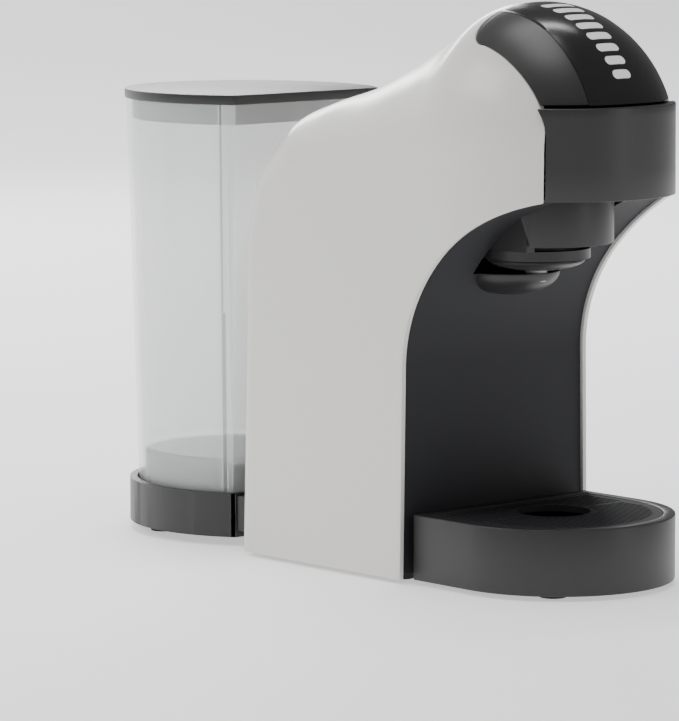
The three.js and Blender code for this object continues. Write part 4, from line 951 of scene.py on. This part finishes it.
# ------------------------------------------------------------------------------------ brew group
@dataclass
class BrewGroup:
    """Pod holder with its grip, the dish and the outlet casing."""

    centre: float = -26.0
    grip_centre: float = -31.0
    grip_radius: float = 31.5
    grip_wall: float = 4.0
    grip_low: float = 154.4
    grip_high: float = 175.6
    grip_sweep: float = 1.2
    grip_heel: float = -48.6
    grip_lean: Point = (0.0, 13.1, -4.0)
    holder_radius: float = 24.6
    holder_low: float = 147.0
    holder_floor: float = 2.5
    rail_z: float = 151.5
    bowl_radius: float = 19.7
    bowl_top: float = 170.0
    pod_radius: float = 17.5
    pod_floor: float = 149.6
    runner_low: Point = (-23.1, -45.5, 154.5)
    runner_high: Point = (23.1, -9.0, 158.5)
    bridge_low: Point = (-14.0, -57.0, 154.8)
    bridge_high: Point = (14.0, -40.0, 170.0)
    dish_radius: float = 22.0
    dish_top: float = 146.6
    dish_depth: float = 5.6
    dish_bore: float = 5.3
    dish_rim: float = 2.0
    dish_bulge: float = 0.96
    hollow_edge: float = 19.0
    hollow_radius: float = 20.5
    hollow_share: float = 0.62
    casing_axes: Point = (23.0, 24.0, 11.0)
    casing_set: tuple[float, float] = (18.0, 7.0)
    casing_top: float = 139.9
    casing_back: float = 4.0

    def holder(self) -> bpy.types.Object:
        """Builds the pod holder: a round foot, a bowl and the two runners."""
        cup = Bench.cylinder("pod_cup", (0, self.centre), self.holder_low, self.rail_z, self.holder_radius)
        Bench.faces(cup, lambda c, n: n.z > 0.9)
        Bench.inset(self.holder_radius - self.bowl_radius)
        Bench.push(dz=self.bowl_top - self.rail_z)
        Bench.inset(self.bowl_radius - self.pod_radius)
        Bench.push(dz=self.holder_low + self.holder_floor - self.bowl_top)
        Bench.leave()
        runners = Bench.cube("runner_tool", self.runner_low, self.runner_high)
        bridge = Bench.cube("bridge_tool", self.bridge_low, self.bridge_high)
        hollow = Bench.cylinder("hollow_tool", (0, self.centre), self.pod_floor, self.bowl_top + 5,
                                self.pod_radius)
        Bench.combine(cup, [runners, bridge], "UNION")
        Bench.combine(cup, [hollow], "DIFFERENCE")
        Bench.soften(cup, 0.5, 50.0, 3)
        return Bench.smooth(cup, 32.0)

    def grip(self) -> bpy.types.Object:
        """Builds the curved grip in front of the holder."""
        inner, low, high = self.grip_radius - self.grip_wall, self.grip_low, self.grip_high
        Bench.clear()
        half = self.grip_sweep
        centre = place(0, self.grip_centre, 0)
        bpy.ops.mesh.primitive_plane_add(size=1.0, location=(0, 0, 0))
        grip = bpy.context.object
        grip.name = "grip_plate"
        corners = [(inner, low), (self.grip_radius, low), (inner, high), (self.grip_radius, high)]
        for vertex, (radius, z) in zip(grip.data.vertices, corners):
            vertex.co = place(radius * math.sin(-half), self.grip_centre - radius * math.cos(half), z)
        Bench.whole(grip)
        bpy.ops.mesh.spin(steps=72, angle=-2 * half, center=centre, axis=(0, 0, 1))
        Bench.leave()
        Bench.outwards(grip)
        Bench.cut(grip, (0, self.grip_heel, low), tuple(Vector(self.grip_lean).normalized()))
        Bench.outwards(grip)
        Bench.soften(grip, 0.9, 50.0, 4)
        return Bench.smooth(grip, 32.0)

    def dish(self) -> bpy.types.Object:
        """Builds the shallow dish under the holder."""
        outer = []
        for r in np.linspace(self.dish_bore, self.dish_radius, 24):
            fall = math.sqrt(max(0.0, 1 - (r / self.dish_radius) ** 2 * self.dish_bulge))
            outer.append((r, self.dish_top - self.dish_depth * fall))
        inner = [(self.dish_radius, self.dish_top), (self.dish_radius - self.dish_rim, self.dish_top)]
        for r in np.linspace(self.hollow_edge, self.dish_bore, 14):
            fall = math.sqrt(max(0.0, 1 - (r / self.hollow_radius) ** 2))
            inner.append((r, self.dish_top - self.dish_depth * self.hollow_share * fall))
        dish = Bench.turn("outlet_bowl", outer + inner, (0, self.centre), 112)
        Bench.soften(dish, 0.3, 50.0, 2)
        return Bench.smooth(dish, 35.0)

    def casing(self) -> bpy.types.Object:
        """Builds the rounded outlet casing on the recess wall."""
        Bench.clear()
        behind, below = self.casing_set
        spot = place(0, self.centre + behind, self.dish_top - below)
        bpy.ops.mesh.primitive_uv_sphere_add(segments=96, ring_count=48, radius=MM, location=spot)
        casing = bpy.context.object
        casing.name = "outlet_casing"
        casing.scale = self.casing_axes
        Bench.settle(casing)
        Bench.cut(casing, (0, 0, self.casing_top), (0, 0, 1))
        Bench.cut(casing, (0, self.casing_back, 0), (0, 1, 0))
        Bench.soften(casing, 0.8, 50.0, 3)
        return Bench.smooth(casing, 35.0)

    def build(self) -> None:
        """Builds the group and hands it over."""
        hand_over(self.holder(), "pod_drawer", Slot.SATIN_BLACK, "pod_holder")
        hand_over(self.grip(), "pod_drawer", Slot.SATIN_BLACK, "pod_grip")
        hand_over(self.dish(), "machine_body", Slot.SATIN_BLACK, "outlet_dish")
        hand_over(self.casing(), "machine_body", Slot.SATIN_BLACK, "spout_housing")


# ------------------------------------------------------------------------------------ drip tray
@dataclass
class DripTray:
    """U-shaped tray with its flat rim, and the slotted grid inside that rim."""

    half: float = 54.7
    back: float = -3.2
    straight: float = 35.6
    low: float = 2.0
    high: float = 32.0
    rim: float = 5.5
    ledge: float = 1.5
    basin: float = 14.0
    grid_thick: float = 3.0
    grid_gap: float = 0.35
    grid_frame: float = 4.6
    hole: tuple[float, float] = (-38.0, 17.0)
    slot_pitch: float = 2.6
    slot_width: float = 1.25
    ring_width: float = 1.4
    ring_sink: float = 0.4
    ring_clear: float = 2.6
    bridge_half: float = 1.2
    shortest_slot: float = 3.0
    grid_sink: float = 0.3
    under_wall: float = 2.0

    def outline(self, name: str, inset: float, low: float, high: float) -> bpy.types.Object:
        """Builds a U-shaped block: half a cylinder with straight sides drawn back from it.

        Args:
            name: The piece's name.
            inset: How far it stands inside the tray's outline.
            low: Height of its foot.
            high: Height of its top.

        Returns:
            The block.
        """
        middle = self.back - self.straight
        block = Bench.cylinder(name, (0, middle), low, high, self.half - inset, FINE_SIDES)
        Bench.cut(block, (0, middle, 0), (0, 1, 0))
        Bench.faces(block, lambda c, n: n.y > 0.9)
        Bench.push(dy=self.straight - inset)
        Bench.leave()
        return block

    def tray(self) -> bpy.types.Object:
        """Builds the tray."""
        tray = self.outline("tray_shell", 0.0, self.low, self.high)
        seat = self.high - self.grid_thick - self.grid_sink
        Bench.combine(tray, [
            self.outline("rebate_tool", self.rim, seat, self.high + 5),
            self.outline("basin_tool", self.rim + self.ledge, self.basin, self.high + 4),
            self.outline("under_tool", self.under_wall, self.low - 5, self.basin - self.under_wall),
        ], "DIFFERENCE")
        Bench.soften(tray, 0.6, 50.0, 3)
        return Bench.smooth(tray, 32.0)

    def grid(self) -> bpy.types.Object:
        """Builds the grid with two rows of fine slots and the round cup hole."""
        inset = self.rim + self.grid_gap
        low = self.high - self.grid_thick
        plate = self.outline("grid_plate", inset, low, self.high - self.grid_sink)
        field_inset = inset + self.grid_frame
        count = int((self.half - field_inset) / self.slot_pitch)
        tools = []
        hole_y, radius = self.hole
        for n in range(-count, count + 1):
            x = n * self.slot_pitch
            depth = self.half - field_inset
            front = self.back - self.straight - math.sqrt(max(0.0, depth ** 2 - x ** 2))
            ring = radius + self.ring_clear
            reach = math.sqrt(max(0.0, ring ** 2 - x ** 2)) if abs(x) < ring else 0.0
            clear = max(self.bridge_half, reach)
            rows = [(self.back - field_inset, hole_y + clear), (hole_y - clear, front)]
            for back, end in rows:
                if back - end > self.shortest_slot:
                    tools.append((x, back, end))
        slots = self.slots(tools, low)
        cup = Bench.cylinder("cup_tool", (0, hole_y), low - 5, self.high + 5, radius, 96)
        Bench.combine(plate, [slots, cup], "DIFFERENCE")
        edge, under = radius + self.ring_width, self.high - self.ring_sink
        section = [(radius, under), (radius, self.high), (edge, self.high), (edge, under)]
        ring_piece = Bench.turn("hole_ring", section, (0, hole_y))
        Bench.combine(plate, [ring_piece], "UNION")
        return Bench.smooth(plate, 32.0)

    def slots(self, runs: Sequence[tuple[float, float, float]], low: float) -> bpy.types.Object:
        """Builds one tool solid that holds every slot."""
        pieces = []
        for x, back, end in runs:
            half = self.slot_width / 2
            corners = (x - half, end, low - 2), (x + half, back, self.high + 2)
            pieces.append(Bench.cube("slot_tool", *corners))
        Bench.clear()
        for piece in pieces:
            piece.select_set(True)
        bpy.context.view_layer.objects.active = pieces[0]
        bpy.ops.object.join()
        return pieces[0]

    def build(self) -> None:
        """Builds the tray and the grid and hands them over."""
        hand_over(self.tray(), "drip_tray", Slot.SATIN_BLACK, "tray_base")
        hand_over(self.grid(), "grid", Slot.MATT_BLACK, "cup_grid")


# ------------------------------------------------------------------------------------ water tank
@dataclass
class WaterTank:
    """Clear D-shaped tank with its lid, on the dock behind the body."""

    centre: float = 170.5
    half: float = 59.8
    reach: float = 63.5
    chord: float = 41.2
    taper: float = 5.7
    wall: float = 2.2
    foot: float = 12.3
    floor: float = 38.0
    top: float = 210.0
    lid_low: float = 210.3
    lid_top: float = 214.6
    skirt: float = 10.0
    dock_inset: float = 1.6
    dock_low: float = 4.0
    dock_top: float = 25.0
    moat_low: float = 10.0
    moat_inset: float = 5.1
    seat_low: float = 8.0
    seat_inset: float = 9.3
    seat_drop: float = 0.4
    neck_low: Point = (-44.0, 106.0, 7.3)
    neck_high: Point = (44.0, 131.3, 24.0)
    skirt_outside: float = 4.0
    skirt_inside: float = 6.0
    valve_y: float = 148.0
    port_radius: float = 4.0
    pocket_radius: float = 8.0

    def block(self, name: str, low: float, high: float, inset_low: float,
              inset_high: float) -> bpy.types.Object:
        """Builds a D-shaped block that may taper.

        Args:
            name: The piece's name.
            low: Height of its foot.
            high: Height of its top.
            inset_low: How far its foot stands inside the lid's outline.
            inset_high: How far its top stands inside that outline.

        Returns:
            The block.
        """
        block = Bench.cylinder(name, (0, self.centre), low, high, 1.0, FINE_SIDES)
        centre = place(0, self.centre, 0)
        for vertex in block.data.vertices:
            inset = inset_low if vertex.co.z < (low + high) / 2 * MM else inset_high
            vertex.co.x = vertex.co.x * (self.half - inset)
            vertex.co.y = centre.y + (vertex.co.y - centre.y) * (self.reach - inset)
        run = inset_low - inset_high
        normal = Vector((0, low - high, -run)).normalized()
        Bench.cut(block, (0, self.centre - self.chord + inset_high, high), tuple(normal))
        return block

    @staticmethod
    def round_corners(block: bpy.types.Object, before: float, radius: float, segments: int = 6) -> None:
        """Rounds the two upright edges at the ends of the flat side, which lie before a given y."""
        Bench.edges(block, lambda c, d: abs(d.z) > 0.9 and c.y < before and abs(c.x) > 30)
        bpy.ops.mesh.bevel(offset=radius * MM, segments=segments, affect="EDGES")
        Bench.leave()

    def inset_at(self, z: float) -> float:
        """How far the tank's wall stands inside the lid's outline at a height."""
        return 0.6 + self.taper * (self.top - z) / (self.top - self.foot)

    def tank(self) -> bpy.types.Object:
        """Builds the clear tank: a wall, a floor and the skirt below it."""
        tank = self.block("tank_wall", self.foot, self.top, self.inset_at(self.foot), self.inset_at(self.top))
        self.round_corners(tank, 140, 2.5)
        low, high = self.floor + 3, self.top + 3
        inner = self.block("inside_tool", low, high, self.inset_at(low) + self.wall,
                           self.inset_at(high) + self.wall)
        below = self.foot - 3
        under = self.block("under_tool", below, self.floor, self.inset_at(below) + self.wall,
                           self.inset_at(self.floor) + self.wall)
        port = Bench.cylinder("port_tool", (0, self.valve_y), 30, 50, self.port_radius, 32)
        Bench.combine(tank, [inner, under, port], "DIFFERENCE")
        Bench.soften(tank, 0.5, 50.0, 2)
        return Bench.smooth(tank, 32.0)

    def lid(self) -> bpy.types.Object:
        """Builds the lid with its skirt."""
        lid = self.block("lid_plate", self.lid_low, self.lid_top, 0.0, 0.0)
        self.round_corners(lid, 130, 2.0)
        skirt = self.block("skirt_tool", self.lid_low - self.skirt, self.lid_low + 1,
                           self.skirt_outside, self.skirt_outside)
        hollow = self.block("hollow_tool", self.lid_low - self.skirt - 2, self.lid_low,
                            self.skirt_inside, self.skirt_inside)
        Bench.combine(lid, [skirt], "UNION")
        Bench.combine(lid, [hollow], "DIFFERENCE")
        Bench.soften(lid, 0.6, 50.0, 3)
        return Bench.smooth(lid, 32.0)

    def dock(self) -> bpy.types.Object:
        """Builds the dock: rim, moat, raised seat and the neck to the body."""
        dock = self.block("dock_shell", self.dock_low, self.dock_top, self.dock_inset, self.dock_inset)
        self.round_corners(dock, 135, 4.0, 8)
        moat = self.block("moat_tool", self.moat_low, self.dock_top + 5, self.moat_inset, self.moat_inset)
        Bench.combine(dock, [moat], "DIFFERENCE")
        seat = self.block("seat_tool", self.seat_low, self.floor - self.seat_drop, self.seat_inset,
                          self.seat_inset)
        neck = Bench.cube("neck_tool", self.neck_low, self.neck_high)
        Bench.combine(dock, [seat, neck], "UNION")
        pocket = Bench.cylinder("pocket_tool", (0, self.valve_y), 29, 60, self.pocket_radius, 48)
        Bench.combine(dock, [pocket], "DIFFERENCE")
        Bench.soften(dock, 0.8, 50.0, 3)
        return Bench.smooth(dock, 32.0)

    def build(self) -> None:
        """Builds the tank, lid and dock and hands them over."""
        hand_over(self.tank(), "tank", Slot.CLEAR_TANK, "water_tank")
        hand_over(self.lid(), "lid", Slot.SATIN_BLACK, "tank_lid")
        hand_over(self.dock(), "machine_body", Slot.SATIN_BLACK, "tank_dock")


# ------------------------------------------------------------------------------------ studio
@dataclass
class Studio:
    """Pale floor, soft lights and the camera."""

    azimuth: float = 42.111
    elevation: float = 7.083
    distance: float = 2022.683
    aim_right: float = -71.695
    aim_up: float = 97.256
    lens: float = 220.214

    def camera(self) -> None:
        """Adds the camera at the viewing angle."""
        turn, lift = math.radians(self.azimuth), math.radians(self.elevation)
        right = Vector((math.cos(turn), -math.sin(turn), 0))
        back = Vector((-math.sin(turn) * math.cos(lift), -math.cos(turn) * math.cos(lift), math.sin(lift)))
        spot = right * self.aim_right + Vector((0, 0, self.aim_up)) + back * self.distance
        data = bpy.data.cameras.new("camera")
        data.lens = self.lens
        data.sensor_width = 36.0
        data.clip_end = 50.0
        camera = bpy.data.objects.new("camera", data)
        up = back.cross(right)
        turned = Matrix((right, up, back)).transposed().to_4x4()
        camera.matrix_world = Matrix.Translation(place(*spot)) @ turned
        bpy.context.scene.collection.objects.link(camera)
        bpy.context.scene.camera = camera

    @staticmethod
    def light(name: str, spot: Point, aim: Point, size: tuple[float, float], watts: float) -> None:
        """Adds a soft rectangular light.

        Args:
            name: Its name.
            spot: Where it stands, in metres.
            aim: What it points at, in metres.
            size: Width and height in metres.
            watts: Its power.
        """
        data = bpy.data.lights.new(name, "AREA")
        data.shape = "RECTANGLE"
        data.size, data.size_y = size
        data.energy = watts
        lamp = bpy.data.objects.new(name, data)
        lamp.location = spot
        lamp.rotation_euler = (Vector(aim) - Vector(spot)).to_track_quat("-Z", "Y").to_euler()
        bpy.context.scene.collection.objects.link(lamp)

    def build(self) -> None:
        """Adds the floor, the world, the lights and the camera."""
        Bench.clear()
        bpy.ops.mesh.primitive_plane_add(size=8.0, location=(0, 0, -0.0002))
        floor = bpy.context.object
        floor.name = "floor"
        Bench.edges(floor, lambda c, d: c.y > 1000 and abs(d.x) > 0.9)
        bpy.ops.mesh.extrude_region_move(TRANSFORM_OT_translate={"value": (0, 0.4, 4.0)})
        Bench.leave()
        Bench.soften(floor, 900.0, 30.0, 16)
        Bench.smooth(floor, 60.0)
        paper = Finish((0.84, 0.84, 0.84), 0.7, grain_mm=8.0, grain_depth=0.02, tone=0.01, glow=0.8)
        floor.data.materials.append(paper.material("floor_paper"))
        world = bpy.data.worlds.new("studio")
        world.use_nodes = True
        world.node_tree.nodes["Background"].inputs["Color"].default_value = (1.0, 1.0, 1.0, 1.0)
        world.node_tree.nodes["Background"].inputs["Strength"].default_value = 0.22
        bpy.context.scene.world = world
        self.light("key", (-1.7, 0.7, 1.5), (0, 0, 0.15), (1.2, 0.9), 16)
        self.light("front", (1.0, -2.2, 0.6), (0, 0, 0.12), (0.25, 1.0), 4)
        self.light("top", (-0.2, -0.3, 2.4), (0, 0, 0.1), (1.2, 1.2), 22)
        self.light("rim", (0.9, 1.8, 0.95), (0, 0, 0.2), (1.2, 0.3), 18)
        self.light("sweep", (0.6, 0.6, 2.8), (1.5, 4.0, 0.8), (2.0, 1.0), 120)
        self.camera()


LEFT_AS_MADE: dict[Slot, tuple[str, ...]] = {
    Slot.SATIN_BLACK: ("rear_panel", "brew_housing", "tank_valve", "switch_bezel"),
    Slot.MATT_BLACK: ("head_core", "base_plate", "power_rocker"),
    Slot.STEEL: ("lever_pin", "piercing_needle", "valve_spring",
                 "base_screw_1", "base_screw_2", "base_screw_3", "base_screw_4"),
    Slot.ALLOY: ("press_plate", "pump", "thermoblock"),
    Slot.SILICONE: ("pod_gasket", "outlet_nozzle", "valve_seal", "inlet_hose", "pump_hose", "brew_hose"),
    Slot.CIRCUIT_BOARD: ("control_board", "main_board"),
    Slot.RUBBER: ("pump_bracket", "cord_gland", "body_foot_left", "body_foot_right", "dock_foot_left",
                  "dock_foot_right", "tray_foot_left", "tray_foot_right"),
    Slot.PALE_PLASTIC: ("flow_meter",),
}


def main() -> None:
    """Loads the frame, builds every sub-assembly and notes the sizes."""
    logging.basicConfig(level=logging.INFO, format="%(name)s: %(message)s")
    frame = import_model()
    form = BodyForm()
    lines = SideLines(form)
    for slot, names in LEFT_AS_MADE.items():
        for name in names:
            dress(frame["nodes"][name], slot)
    Shell(form, lines).build()
    Recess(form, lines).build()
    Head(form, lines).build()
    Lever(form, lines).build()
    BrewGroup().build()
    DripTray().build()
    WaterTank().build()
    Studio().build()


if __name__ == "__main__":
    main()
